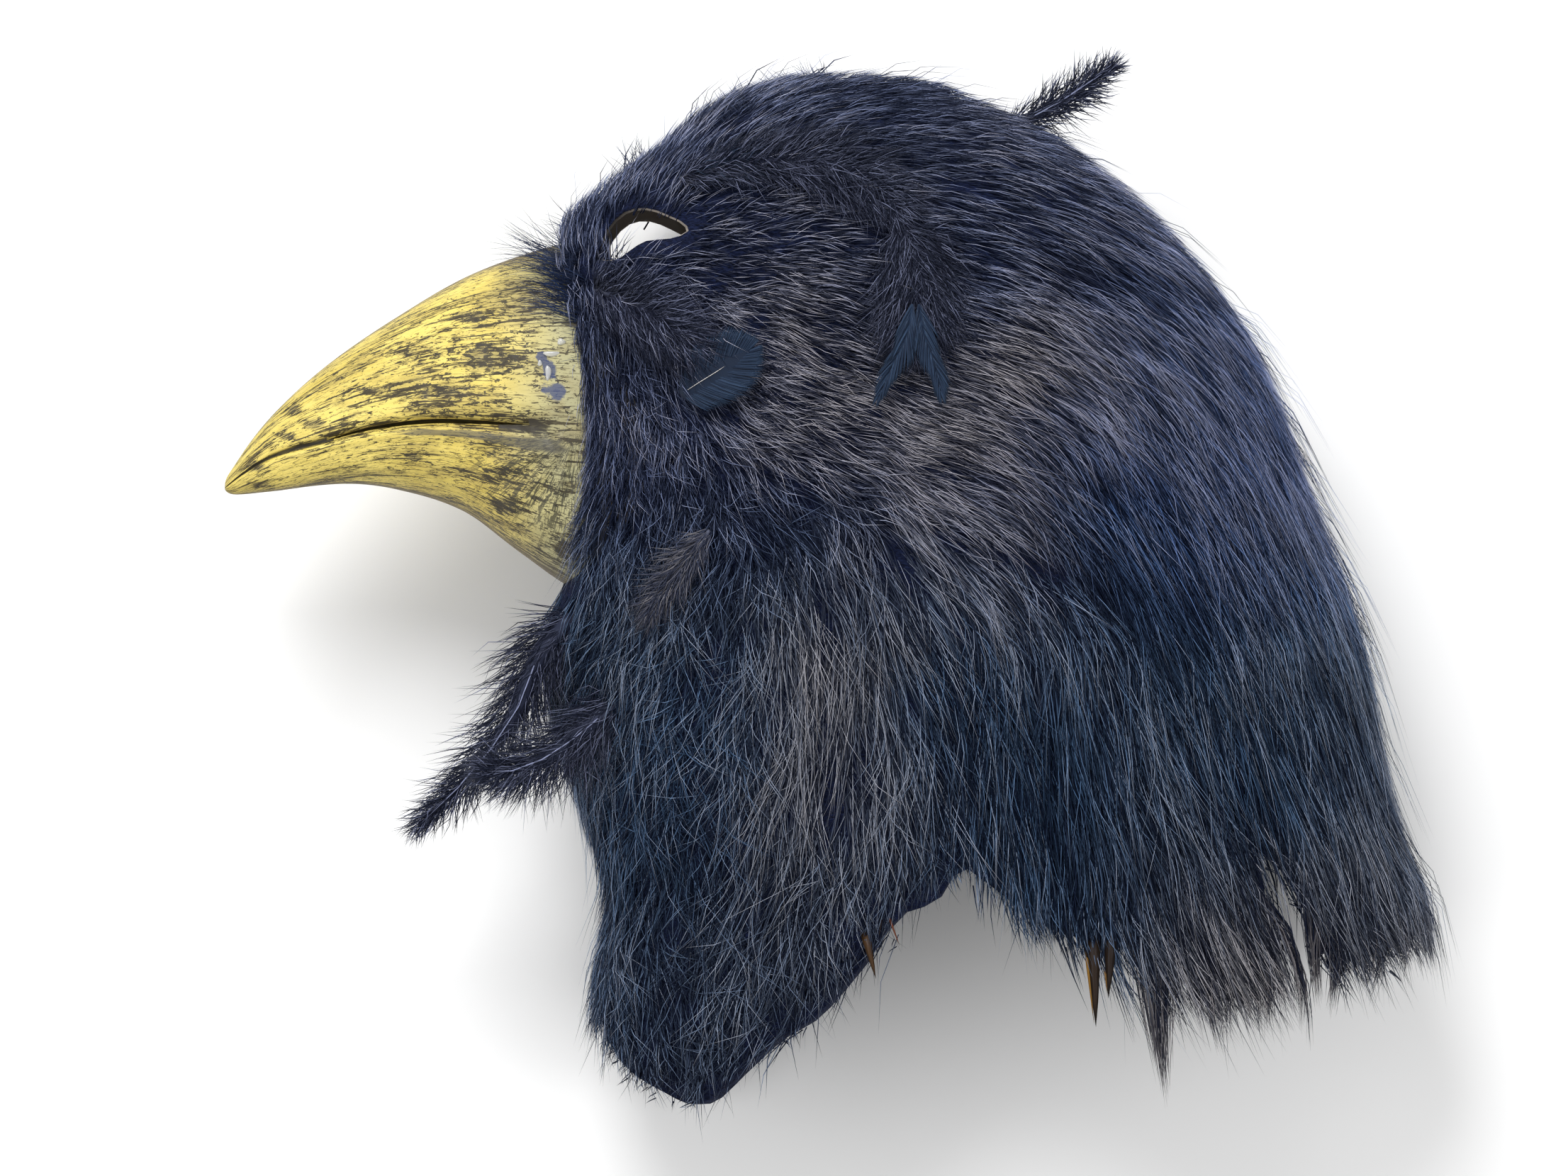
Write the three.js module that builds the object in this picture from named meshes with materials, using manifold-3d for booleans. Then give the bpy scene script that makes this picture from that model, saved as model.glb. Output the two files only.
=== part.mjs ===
// Raven mask: a whole-head mask of cast latex with a long yellow beak, covered with black fur
// fabric that hangs on as a cape and a bib, with small dark feathers glued into the fur.
// Millimetres. The mask lies on its right cheek: +X runs from the beak to the nape, +Y from the
// hem to the crown, and +Z from the floor up to the left cheek.

import * as THREE from "three";
import { mergeVertices } from "three/addons/utils/BufferGeometryUtils.js";
import Module from "manifold-3d";

const wasm = await Module();
wasm.setup();

// Driving dimensions. x counts from the beak's tip and y from the lowest point of the hem's curve.
const MIDDLE_Z = 90; // the mask's plane of symmetry above the floor
const CROWN_Y = 441;
const LATEX_TOP_Y = 430;
const LATEX_WALL = 2.6;
const NECK_Y = 150; // the latex ends here, the fur hangs on
const GAP = 0.3; // between glued pieces
const FLOOR_FUR = 6.6; // fur pressed flat under the latex
const CAPE_WALL = 13;
const MOUTH_SLIT = { from: 44, to: 130, height: 1.9 };
const SEAM_Z = 88; // the fur's left and right panels meet here

const MATERIALS = {
  latex: { color: 0xd9c25c, roughness: 0.45, metalness: 0 },
  fur: { color: 0x232838, roughness: 0.9, metalness: 0 },
  feather: { color: 0x1c2436, roughness: 0.7, metalness: 0 },
};

// A smooth function through [distance, value] pairs.
function curveThrough(pairs, measure = (distance) => distance) {
  const at = pairs.map(([distance]) => measure(distance));
  const value = pairs.map(([, v]) => v);
  const last = pairs.length - 1;
  const slope = at.map((_, i) => {
    const [a, b] = [Math.max(i - 1, 0), Math.min(i + 1, last)];
    return (value[b] - value[a]) / (at[b] - at[a]);
  });
  return (distance) => {
    const place = THREE.MathUtils.clamp(measure(distance), at[0], at[last]);
    let i = 0;
    while (i < last - 1 && place > at[i + 1]) i += 1;
    const span = at[i + 1] - at[i];
    const t = (place - at[i]) / span;
    const late = t * t * (3 - 2 * t);
    const bend = span * t * (1 - t) * (slope[i] * (1 - t) - slope[i + 1] * t);
    return value[i] * (1 - late) + value[i + 1] * late + bend;
  };
}

// The same on the square root of the distance, so that a form closes round at distance 0.
const roundedFrom = (pairs) => curveThrough(pairs, (d) => Math.sqrt(Math.max(d, 0)));

const power = (value, exponent) => Math.sign(value) * Math.abs(value) ** exponent;

// The outside of the fur. Each profile counts down from the crown: [drop, x] or [drop, depth].
const FUR = {
  top: CROWN_Y,
  floor: 0,
  front: roundedFrom([[0, 258], [4, 227], [13, 205], [31, 182], [49, 157], [60, 145], [79, 139],
    [109, 144], [141, 153], [164, 155], [194, 148], [229, 137], [274, 140], [324, 156],
    [349, 162], [384, 156], [441, 157]]),
  back: roundedFrom([[0, 258], [4, 300], [13, 322], [31, 357], [58, 391], [94, 421], [130, 440],
    [184, 459], [238, 479], [292, 490], [328, 499], [346, 508], [441, 514]]),
  depth: roundedFrom([[0, 0], [4, 30], [11, 47], [21, 62], [41, 79], [61, 88], [91, 96], [121, 99],
    [154, 98], [204, 92], [264, 85], [324, 78], [441, 70]]),
  middle: curveThrough([[0, MIDDLE_Z], [154, MIDDLE_Z], [264, 82], [441, 68]]),
};

// The latex head under the fur, down to the neck.
const HEAD = {
  top: LATEX_TOP_Y,
  floor: FLOOR_FUR,
  front: roundedFrom([[0, 258], [8, 207], [20, 186], [40, 163], [60, 149], [95, 151], [140, 160],
    [220, 160], [300, 172]]),
  back: roundedFrom([[0, 258], [8, 306], [20, 336], [50, 370], [95, 391], [140, 391], [200, 372],
    [250, 356], [300, 352]]),
  depth: roundedFrom([[0, 0], [8, 44], [20, 62], [50, 80], [90, 88], [130, 88], [180, 81],
    [240, 67], [300, 58]]),
  middle: curveThrough([[0, MIDDLE_Z], [180, MIDDLE_Z], [300, 78]]),
};
const HEAD_MESH = { bottomDrop: 300, around: 24, levels: 9 };

// The space inside the cape, where the fabric hangs free of the latex.
const CAPE_SPACE = {
  top: 316,
  floor: FLOOR_FUR,
  front: roundedFrom([[0, 300], [10, 230], [40, 185], [90, 172], [140, 172], [190, 176],
    [330, 174]]),
  back: roundedFrom([[0, 330], [10, 388], [30, 416], [90, 448], [170, 468], [240, 485],
    [330, 490]]),
  depth: roundedFrom([[0, 0], [10, 34], [40, 62], [90, 85 - CAPE_WALL], [140, 83 - CAPE_WALL],
    [200, 78 - CAPE_WALL], [330, 70 - CAPE_WALL]]),
  middle: curveThrough([[0, 88], [90, 85], [150, 81], [330, 68]]),
};
const SPACE_MESH = { bottomDrop: 330, around: 24, levels: 7 };

// How high the hem hangs, as [x, y] along the near side. The far side is the same.
const HEM_DROP_FOR_X = 370;
const HEM = [[156, 48], [166, 25], [186, 11], [200, 7], [216, 20], [232, 34], [250, 45], [268, 66],
  [280, 86], [297, 93], [305, 101], [314, 108], [324, 99], [337, 88], [352, 80], [372, 76],
  [395, 67], [425, 60], [452, 62], [480, 68], [516, 80]];
const hemHeight = curveThrough(HEM);

// One form's point at a drop below its top and an angle round it: 0 is the nape, a quarter turn
// the near cheek, a half turn the front. The sections are ellipses, fuller on the side lain on.
const ROUND_NEAR = 0.94;
const ROUND_FAR = 0.66;
function sectionPoint(form, drop, angle) {
  const [front, back] = [form.front(drop), form.back(drop)];
  const [along, across] = [Math.cos(angle), Math.sin(angle)];
  const round = across < 0 ? ROUND_FAR : ROUND_NEAR;
  const x = (front + back) / 2 + ((back - front) / 2) * power(along, round);
  const z = form.middle(drop) + form.depth(drop) * power(across, round);
  return new THREE.Vector3(x, form.top - drop, Math.max(z, form.floor));
}

// The fur's near surface over a place in the mask's plane of symmetry.
function furHeight(x, y) {
  const drop = Math.max(FUR.top - y, 0.5);
  const [front, back] = [FUR.front(drop), FUR.back(drop)];
  const u = Math.abs((x - (front + back) / 2) / ((back - front) / 2));
  const rise = Math.max(1 - u ** (2 / ROUND_NEAR), 0) ** (ROUND_NEAR / 2);
  return FUR.middle(drop) + FUR.depth(drop) * rise;
}

// A closed solid through rings of points, each end closed by a fan to its ring's middle.
function solidThrough(rings) {
  const count = rings[0].length;
  const points = rings.flat();
  const middleOf = (ring) =>
    ring.reduce((sum, p) => sum.add(p), new THREE.Vector3()).divideScalar(count);
  points.push(middleOf(rings[0]), middleOf(rings.at(-1)));
  const index = [];
  rings.slice(1).forEach((_, r) => {
    for (let i = 0; i < count; i += 1) {
      const [a, b] = [r * count + i, r * count + ((i + 1) % count)];
      index.push(a, b, a + count, b, b + count, a + count);
    }
  });
  const lastRing = (rings.length - 1) * count;
  for (let i = 0; i < count; i += 1) {
    const next = (i + 1) % count;
    index.push(rings.length * count, next, i);
    index.push(rings.length * count + 1, lastRing + i, lastRing + next);
  }
  const geometry = new THREE.BufferGeometry().setFromPoints(points).setIndex(index);
  const solid = solidOf(geometry);
  return solid.volume() < 0 ? solidOf(turnedOver(geometry)) : solid;
}

function turnedOver(geometry) {
  const order = geometry.index.array;
  const turned = Array.from(order, (_, i) => order[i - (i % 3) + 2 - (i % 3)]);
  return geometry.clone().setIndex(turned);
}

function solidOf(geometry) {
  const merged = mergeVertices(geometry, 1e-3);
  return new wasm.Manifold(new wasm.Mesh({
    numProp: 3,
    vertProperties: merged.attributes.position.array,
    triVerts: new Uint32Array(merged.index.array),
  }));
}

function geometryOf(solid) {
  const mesh = solid.getMesh();
  const geometry = new THREE.BufferGeometry();
  geometry.setAttribute("position", new THREE.BufferAttribute(mesh.vertProperties, 3));
  geometry.setIndex(new THREE.BufferAttribute(mesh.triVerts, 1));
  return geometry;
}

const shares = (steps) => Array.from({ length: steps + 1 }, (_, i) => i / steps);

// A form from its top down to a depth below it, bigger or smaller by a margin all round.
function formSolid(form, { bottomDrop, around, levels, grow = 0 }) {
  const wide = {
    ...form,
    top: form.top + grow,
    floor: form.floor - grow,
    front: (drop) => form.front(drop) - grow * Math.min(drop / 8, 1),
    back: (drop) => form.back(drop) + grow * Math.min(drop / 8, 1),
    depth: (drop) => form.depth(drop) + grow * Math.min(drop / 8, 1),
  };
  const rings = shares(levels).slice(1).map((share) =>
    shares(around).slice(1).map((turn) =>
      sectionPoint(wide, bottomDrop * share ** 1.7, turn * 2 * Math.PI)));
  const pole = sectionPoint(wide, 0, 0);
  return solidThrough([rings[0].map(() => pole.clone()), ...rings]);
}

// The beak. Its outlines count back from the tip.
const BEAK = {
  end: 186,
  top: roundedFrom([[0, 267], [3.6, 275], [9.6, 284], [25, 302], [45, 319.5], [72, 338],
    [101, 355], [125, 364.5], [145, 370], [186, 376]]),
  bottom: roundedFrom([[0, 266], [4, 263.5], [20, 264.8], [51, 268], [73, 265.6], [101, 256.5],
    [125, 239], [145, 225], [186, 205]]),
  mouth: curveThrough([[0, 266], [8, 272], [21, 279.5], [44, 286], [64, 291], [91, 293.6],
    [131, 291.7], [186, 290]]),
  half: roundedFrom([[0, 0], [3, 4.6], [10, 8], [25, 12], [50, 18], [75, 24.5], [100, 31],
    [125, 37.5], [145, 43], [186, 55]]),
};
const BEAK_STEPS = 14;
const RIDGE_GROOVE = { turn: 0.62, width: 0.1, depth: 1.4 };
const LIP_GROOVE = { turn: Math.PI / 2, width: 0.05, depth: 2.4 };

// Angles round half of a beak section, from the ridge down to the chin, closer at the grooves.
const HALF_TURNS = [0, 0.3, 0.52, 0.62, 0.74, 1.1, 1.48, 1.57, 1.66, 1.95, 2.35, 2.75];

function beakPoint(x, turn, inset) {
  const [mouth, along, across] = [BEAK.mouth(x), Math.cos(turn), Math.sin(turn)];
  const reach = along > 0 ? BEAK.top(x) - mouth : mouth - BEAK.bottom(x);
  const side = Math.acos(along);
  const groove = [RIDGE_GROOVE, LIP_GROOVE].reduce((sum, g) =>
    sum + g.depth * Math.exp(-(((side - g.turn) / g.width) ** 2)), 0);
  const size = Math.min(BEAK.half(x) / 12, 1);
  const half = BEAK.half(x) - inset - (inset > 0 ? 0 : groove * size);
  return new THREE.Vector3(x, mouth + Math.max(reach - inset, 0.2) * along,
    MIDDLE_Z + Math.max(half, 0.2) * power(across, 0.92));
}

function beakSolid(inset, steps) {
  const turns = inset > 0 ? HALF_TURNS.filter((_, i) => i % 2 === 0) : HALF_TURNS;
  const circle = [...turns, Math.PI, ...turns.slice(1).reverse().map((t) => 2 * Math.PI - t)];
  const start = Math.max(inset * 3.2, inset);
  const rings = shares(steps).map((share) => {
    const x = start + (BEAK.end - start) * share ** 1.5;
    return circle.map((turn) => beakPoint(x, turn, inset));
  });
  return solidThrough(rings);
}

// The opening between the two halves of the beak: a thin blade, pointed at both ends.
function mouthBlade() {
  const width = BEAK.half(MOUTH_SLIT.to) + 10;
  const rings = shares(9).map((share) => {
    const x = MOUTH_SLIT.from + (MOUTH_SLIT.to - MOUTH_SLIT.from) * share;
    const rise = Math.max(Math.sin(share * Math.PI) ** 0.6, 0.05) * MOUTH_SLIT.height / 2;
    const y = BEAK.mouth(x);
    return [[y - rise, -width], [y + rise, -width], [y + rise, width], [y - rise, width]]
      .map(([py, pz]) => new THREE.Vector3(x, py, MIDDLE_Z + pz));
  });
  return solidThrough(rings);
}

// The eye holes: one outline, [x, y], cut through both cheeks.
const EYE = { x: 177.5, y: 370 };
const EYE_OUTLINE = [[-18.2, -7.6], [-14.5, 2.5], [-7.7, 10], [0.7, 11.6], [8.8, 9.2],
  [15.5, 6], [18.7, 1.7], [11.8, -1], [1.9, -1.6], [-5, -5.5], [-11.6, -9.1]];
function eyeCutter(grow) {
  const size = 1 + grow / 12;
  const corners = EYE_OUTLINE.map(([x, y]) => new THREE.Vector2(x * size, y * size));
  const geometry = new THREE.ExtrudeGeometry(new THREE.Shape(corners),
    { depth: 260, bevelEnabled: false });
  geometry.translate(EYE.x, EYE.y, -20);
  geometry.deleteAttribute("normal");
  geometry.deleteAttribute("uv");
  return solidOf(geometry);
}

function boxSolid(size, middle) {
  const box = new THREE.BoxGeometry(...size).translate(...middle);
  box.deleteAttribute("normal");
  box.deleteAttribute("uv");
  return solidOf(box);
}

// The casting: the beak and the head shell behind it, divided where the beak leaves the head.
function latexSolids() {
  const outer = formSolid(HEAD, HEAD_MESH).add(beakSolid(0, BEAK_STEPS));
  const inner = formSolid(HEAD, { ...HEAD_MESH, grow: -LATEX_WALL })
    .add(beakSolid(LATEX_WALL, 10));
  const below = boxSolid([500, 200, 400], [260, NECK_Y - 100, 100]);
  const latex = outer.subtract(inner).subtract(below).subtract(mouthBlade())
    .subtract(eyeCutter(0));
  return {
    latex_beak: latex.subtract(formSolid(HEAD, { ...HEAD_MESH, grow: GAP })),
    latex_head: latex.intersect(formSolid(HEAD, HEAD_MESH)),
  };
}

// The fur is sewn from two panels, with the seam from the forehead over the crown to the hem.
function furPanels(fur) {
  const side = (sign) => boxSolid([900, 900, 400], [260, 220, SEAM_Z + sign * (200 + GAP / 2)]);
  return { fur_left: fur.intersect(side(1)), fur_right: fur.intersect(side(-1)) };
}

// How the fur is combed: [x, y, direction in degrees from +X, length of a lock].
const COMBING = [
  [197, 423, 48, 22], [270, 432, -8, 22], [320, 418, -25, 26], [380, 385, -38, 32],
  [425, 335, -48, 38], [455, 270, -60, 44], [480, 190, -69, 50], [498, 110, -76, 46],
  [170, 325, -50, 24], [225, 335, -24, 18], [255, 300, -14, 18], [345, 325, -30, 30],
  [365, 270, -52, 44], [385, 205, -66, 52], [350, 155, -82, 50], [405, 110, -68, 52],
  [300, 215, -64, 42], [262, 190, -94, 40], [200, 205, -106, 32], [160, 195, -104, 24],
  [150, 130, -104, 28], [185, 95, -96, 38], [170, 48, -86, 34], [225, 50, -88, 34],
  [255, 95, -84, 36],
];

function combingAt(x, y) {
  const sum = [0, 0, 0, 0];
  COMBING.forEach(([px, py, degrees, length]) => {
    const weight = 1 / ((x - px) ** 2 + (y - py) ** 2 + 250) ** 1.6;
    const angle = THREE.MathUtils.degToRad(degrees);
    [Math.cos(angle), Math.sin(angle), length, 1].forEach((v, i) => {
      sum[i] += v * weight;
    });
  });
  const angle = Math.atan2(sum[1], sum[0]);
  return { angle, length: sum[2] / sum[3] };
}

// A pointed lock that starts in the fur and ends a little above it. side is 1 on the near
// cheek and -1 on the far one.
const LOCK_SIDES = 4;
const LOCK_CURL = 0.12;
function lockSolid(x, y, { angle, length, width, thick, lift, side = 1 }) {
  const rings = [[0, 0.7], [0.4, 1], [1, 0.08]].map(([share, size]) => {
    const reach = length * share;
    const turn = angle - LOCK_CURL * share;
    const [px, py] = [x + Math.cos(turn) * reach, y + Math.sin(turn) * reach];
    const near = furHeight(px, py) + lift * share - thick * 0.6;
    const middle = FUR.middle(Math.max(FUR.top - py, 0));
    const z = side > 0 ? near : Math.max(2 * middle - near, thick + 0.5);
    return shares(LOCK_SIDES).slice(1).map((part) => {
      const a = part * 2 * Math.PI;
      const across = Math.cos(a) * width * size;
      return new THREE.Vector3(px - Math.sin(turn) * across, py + Math.cos(turn) * across,
        z + Math.sin(a) * thick * size);
    });
  });
  return solidThrough(rings);
}

// Rows of locks round the fur, each row set between the locks of the one above it.
const LOCK_ROWS = { from: 34, step: 53, count: 6, apart: 70 };
const FUR_LOCK = { width: 11, thick: 6, lift: 8 };
const LOCK_STRETCH = 1.55; // of the combed length, with a fifth more or less from lock to lock
function furLocks() {
  const locks = [];
  shares(LOCK_ROWS.count - 1).forEach((_, row) => {
    const drop = LOCK_ROWS.from + row * LOCK_ROWS.step;
    const girth = Math.PI * ((FUR.back(drop) - FUR.front(drop)) / 2 + FUR.depth(drop));
    const around = Math.round(girth / LOCK_ROWS.apart);
    for (let i = 0; i < around; i += 1) {
      const root = sectionPoint(FUR, drop, ((i + (row % 2) / 2) / around) * 2 * Math.PI);
      const overHem = root.y < hemHeight(root.x) + 24;
      const face = root.x < 212 && root.y > 225 && root.y < 400;
      const lainOn = root.z < 30;
      if (overHem || face || lainOn) continue;
      const side = root.z >= FUR.middle(drop) ? 1 : -1;
      const combed = combingAt(root.x, root.y);
      const angle = combed.angle + 0.14 * Math.sin(row * 5 + i * 3);
      const length = combed.length * (LOCK_STRETCH + 0.3 * Math.sin(row * 2 + i * 7));
      locks.push(lockSolid(root.x, root.y, { ...FUR_LOCK, angle, length, side }));
    }
  });
  return locks;
}

// Locks that hang below the hem: the x of each root and the place of its tip.
const HEM_LOCKS = [
  [168, 163, 24], [184, 187, 3], [204, 207, 0], [226, 229, 22], [248, 246, 32], [270, 267, 56],
  [298, 292, 80], [335, 341, 78], [358, 366, 64], [386, 397, 12], [406, 411, 44], [431, 434, 42],
  [455, 457, 48], [476, 478, 54], [496, 502, 62],
];
const HEM_HOLD = 20; // how far a lock starts above the hem
const HEM_LOCK = { width: 9, thick: 4.5, lift: -3 };
function hemLocks() {
  return HEM_LOCKS.flatMap(([x, tipX, tipY], i) => {
    const y = hemHeight(x) + HEM_HOLD;
    const length = Math.hypot(tipX - x, tipY - y);
    const angle = Math.atan2(tipY - y, tipX - x);
    const sides = i % 2 ? [1, -1] : [1];
    return sides.map((side) => lockSolid(x, y, { angle, length, ...HEM_LOCK, side }));
  });
}

// The angle round the fur at which its hem passes over x, 1 on the near side and -1 on the far.
function turnOverHem(x, side) {
  const [front, back] = [FUR.front(HEM_DROP_FOR_X), FUR.back(HEM_DROP_FOR_X)];
  const along = THREE.MathUtils.clamp((x - (front + back) / 2) / ((back - front) / 2), -1, 1);
  const turn = Math.acos(power(along, 1 / (side > 0 ? ROUND_NEAR : ROUND_FAR)));
  return side > 0 ? turn : 2 * Math.PI - turn;
}

// The fur before the feathers sink into it.
const FUR_LEVELS = 12;
function furSolid() {
  const near = HEM.map(([x]) => turnOverHem(x, 1)).reverse();
  const far = HEM.slice(1, -1).filter((_, i) => i % 2 === 0).map(([x]) => turnOverHem(x, -1));
  const turns = [...near, ...far];
  const drops = turns.map((turn) =>
    FUR.top - hemHeight(sectionPoint(FUR, HEM_DROP_FOR_X, turn).x));
  const rings = shares(FUR_LEVELS).slice(1).map((share) =>
    turns.map((turn, i) => sectionPoint(FUR, drops[i] * share ** 1.5, turn)));
  const pole = sectionPoint(FUR, 0, 0);
  const outer = solidThrough([turns.map(() => pole.clone()), ...rings]);
  const locked = [...furLocks(), ...hemLocks()].reduce((sum, lock) => sum.add(lock), outer);
  const latex = formSolid(HEAD, { ...HEAD_MESH, grow: GAP }).add(beakSolid(-GAP, BEAK_STEPS));
  return locked.subtract(latex).subtract(formSolid(CAPE_SPACE, SPACE_MESH))
    .subtract(eyeCutter(1.2));
}

// A feather: a leaf that follows a line over the fur. Its half widths and half thicknesses are
// given from root to tip, and lift is its middle above the fur.
const FEATHER_SIDES = 6;
const FEATHER_STEPS = 6;
function featherSolid({ line, widths, thicks, lift, upright = false }, grow = 0) {
  const curve = new THREE.CatmullRomCurve3(line.map(([x, y, z = 0]) => new THREE.Vector3(x, y, z)));
  const widthAt = curveThrough(widths.map((w, i) => [i / (widths.length - 1), w]));
  const thickAt = curveThrough(thicks.map((t, i) => [i / (thicks.length - 1), t]));
  const rings = shares(FEATHER_STEPS).map((share) => {
    const place = curve.getPoint(share);
    const way = curve.getTangent(share);
    const across = new THREE.Vector2(-way.y, way.x).normalize();
    return shares(FEATHER_SIDES).slice(1).map((part) => {
      const a = part * 2 * Math.PI;
      const out = Math.cos(a) * (widthAt(share) + grow);
      const [x, y] = [place.x + across.x * out, place.y + across.y * out];
      const base = upright ? MIDDLE_Z + place.z : furHeight(x, y) + lift + place.z;
      return new THREE.Vector3(x, y, base + Math.sin(a) * (thickAt(share) + grow));
    });
  });
  return solidThrough(rings);
}

const FEATHERS = {
  brow_plume: { lift: 2, widths: [4, 11, 15, 16, 13], thicks: [1.5, 3.4, 4, 3.8, 2.4],
    line: [[193, 394], [216, 399], [242, 401], [266, 394], [284, 381]] },
  ear_plume: { lift: 2.4, widths: [14, 18, 16.5, 14, 10], thicks: [2.4, 4, 4, 3.2, 2],
    line: [[286, 374], [291, 360], [291.5, 347], [291, 335], [289.5, 326]] },
  cheek_plume: { lift: 1.6, widths: [5, 11, 13, 6], thicks: [1.5, 3.4, 3.4, 1.5],
    line: [[157, 349], [171, 343], [185, 336], [198, 326]] },
  cheek_feather: { lift: 2, widths: [4, 10.5, 13, 11, 4], thicks: [1, 1.5, 1.6, 1.5, 1],
    line: [[194, 304], [201, 308.5], [208.5, 313], [215.5, 317.5], [222.5, 322]] },
  jaw_plume: { lift: 1.4, widths: [3, 6, 6, 2.5], thicks: [1.5, 2.8, 2.6, 1.4],
    line: [[206, 248], [198, 238], [190, 227], [181, 215]] },
  crown_feather: { upright: true, widths: [5, 7, 7.5, 5.5, 2.5], thicks: [3, 4.5, 5, 4, 2],
    line: [[324, 414, 6], [340, 422, 7], [353, 429, 8], [365, 437, 9], [375.5, 444, 10]] },
  throat_feather_upper: { upright: true, widths: [8, 14, 13, 7, 2.5], thicks: [5, 7, 6.5, 4, 2.4],
    line: [[148, 212, 26], [134, 196, 24], [124, 172, 20], [106, 147, 16], [83, 124, 12]] },
  throat_feather_lower: { upright: true, widths: [7, 11, 11, 7, 2], thicks: [3, 5, 5, 4, 2],
    line: [[171, 179, 37], [156, 167, 38], [142, 156, 36], [126, 148, 33], [112, 147, 31]] },
};

// The ear plume ends in a split vane.
const EAR_FORK = [
  [[287, 332], [282, 321], [279, 313], [277, 305.5]],
  [[293, 332], [297, 321], [299.5, 313], [301, 306]],
];
function earFork(grow) {
  return EAR_FORK.map((line) => featherSolid({ line, lift: 2.4, widths: [6, 6.5, 4.5, 1],
    thicks: [1.8, 1.5, 1.2, 0.6] }, grow));
}

function featherWithEnds(name, grow = 0) {
  const plume = featherSolid(FEATHERS[name], grow);
  const ends = name === "ear_plume" ? earFork(grow) : [];
  return ends.reduce((sum, end) => sum.add(end), plume);
}

// Each feather sinks into the fur, and the later ones lie on the earlier ones.
function buildSolids() {
  const names = Object.keys(FEATHERS);
  let fur = furSolid();
  names.forEach((name) => {
    fur = fur.subtract(featherWithEnds(name, GAP));
  });
  const around = formSolid(HEAD, { ...HEAD_MESH, grow: GAP }).add(eyeCutter(1.2));
  const feathers = names.map((name, i) => names.slice(i + 1).reduce(
    (sum, later) => sum.subtract(featherWithEnds(later, GAP)), featherWithEnds(name))
    .subtract(around));
  const solids = { ...latexSolids(), ...furPanels(fur),
    ...Object.fromEntries(names.map((name, i) => [name, feathers[i]])) };
  return Object.fromEntries(Object.entries(solids).map(([name, solid]) =>
    [name, largestPiece(solid)]));
}

function largestPiece(solid) {
  return solid.decompose().sort((a, b) => b.volume() - a.volume())[0];
}

function materialFor(name) {
  const kind = name.split("_")[0];
  return new THREE.MeshStandardMaterial(MATERIALS[kind] ?? MATERIALS.feather);
}

const mask = new THREE.Group();
Object.entries(buildSolids()).forEach(([name, solid]) => {
  const mesh = new THREE.Mesh(geometryOf(solid), materialFor(name));
  mesh.name = name;
  mask.add(mesh);
});

// The origin is on the floor, under the middle of the mask's box.
const box = new THREE.Box3().setFromObject(mask);
mask.position.set(-(box.min.x + box.max.x) / 2, -(box.min.y + box.max.y) / 2, -box.min.z);

export default mask;
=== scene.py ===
import bmesh
import bpy
import numpy as np
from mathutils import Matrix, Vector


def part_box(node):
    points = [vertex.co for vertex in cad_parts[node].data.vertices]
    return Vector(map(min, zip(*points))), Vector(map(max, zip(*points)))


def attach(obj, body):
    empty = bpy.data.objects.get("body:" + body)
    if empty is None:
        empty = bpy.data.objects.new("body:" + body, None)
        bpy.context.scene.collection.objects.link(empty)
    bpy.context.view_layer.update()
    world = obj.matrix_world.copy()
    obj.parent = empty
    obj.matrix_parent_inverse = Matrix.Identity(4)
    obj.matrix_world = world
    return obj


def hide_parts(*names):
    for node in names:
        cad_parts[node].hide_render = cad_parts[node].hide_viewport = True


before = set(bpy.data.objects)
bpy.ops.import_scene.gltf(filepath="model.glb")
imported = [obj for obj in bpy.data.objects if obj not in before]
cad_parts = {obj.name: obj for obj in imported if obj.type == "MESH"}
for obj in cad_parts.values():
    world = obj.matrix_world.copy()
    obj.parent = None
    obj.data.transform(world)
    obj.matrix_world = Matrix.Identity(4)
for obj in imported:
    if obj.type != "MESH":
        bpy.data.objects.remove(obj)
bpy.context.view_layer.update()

# Raven mask, lying on its right cheek: beak towards -X, crown towards +Y, left cheek up.
# Shapes are worked out in millimetres from the beak's tip and the hem, as the solids are.
mask = {
    "middleZ": 90.0,  # height of the plane of symmetry
    "crownY": 441.0,
    "latexTopY": 430.0,
    "latexWall": 2.6,
    "neckY": 150.0,
    "floorFur": 6.6,  # height of the latex over the floor
    "roundNear": 0.94,  # how full the sections are on the near side, 1 is an ellipse
    "roundFar": 0.66,
    "hemLevel": 370.0,  # drop of the section on which the hem's curve is read
    "crowding": 1.35,  # how much closer rows lie to each other at the crown
    "cutReach": (-20, 240),  # the heights between which a cutter goes through both sides
}
chance = np.random.default_rng(11)

beakLow = np.array(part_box("latex_beak")[0]) * 1000
headLow = np.array(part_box("latex_head")[0]) * 1000
shift = np.array([beakLow[0], headLow[1] - mask["neckY"], 0.0])


def inScene(points):
    return (np.asarray(points, float) + shift) / 1000


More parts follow.
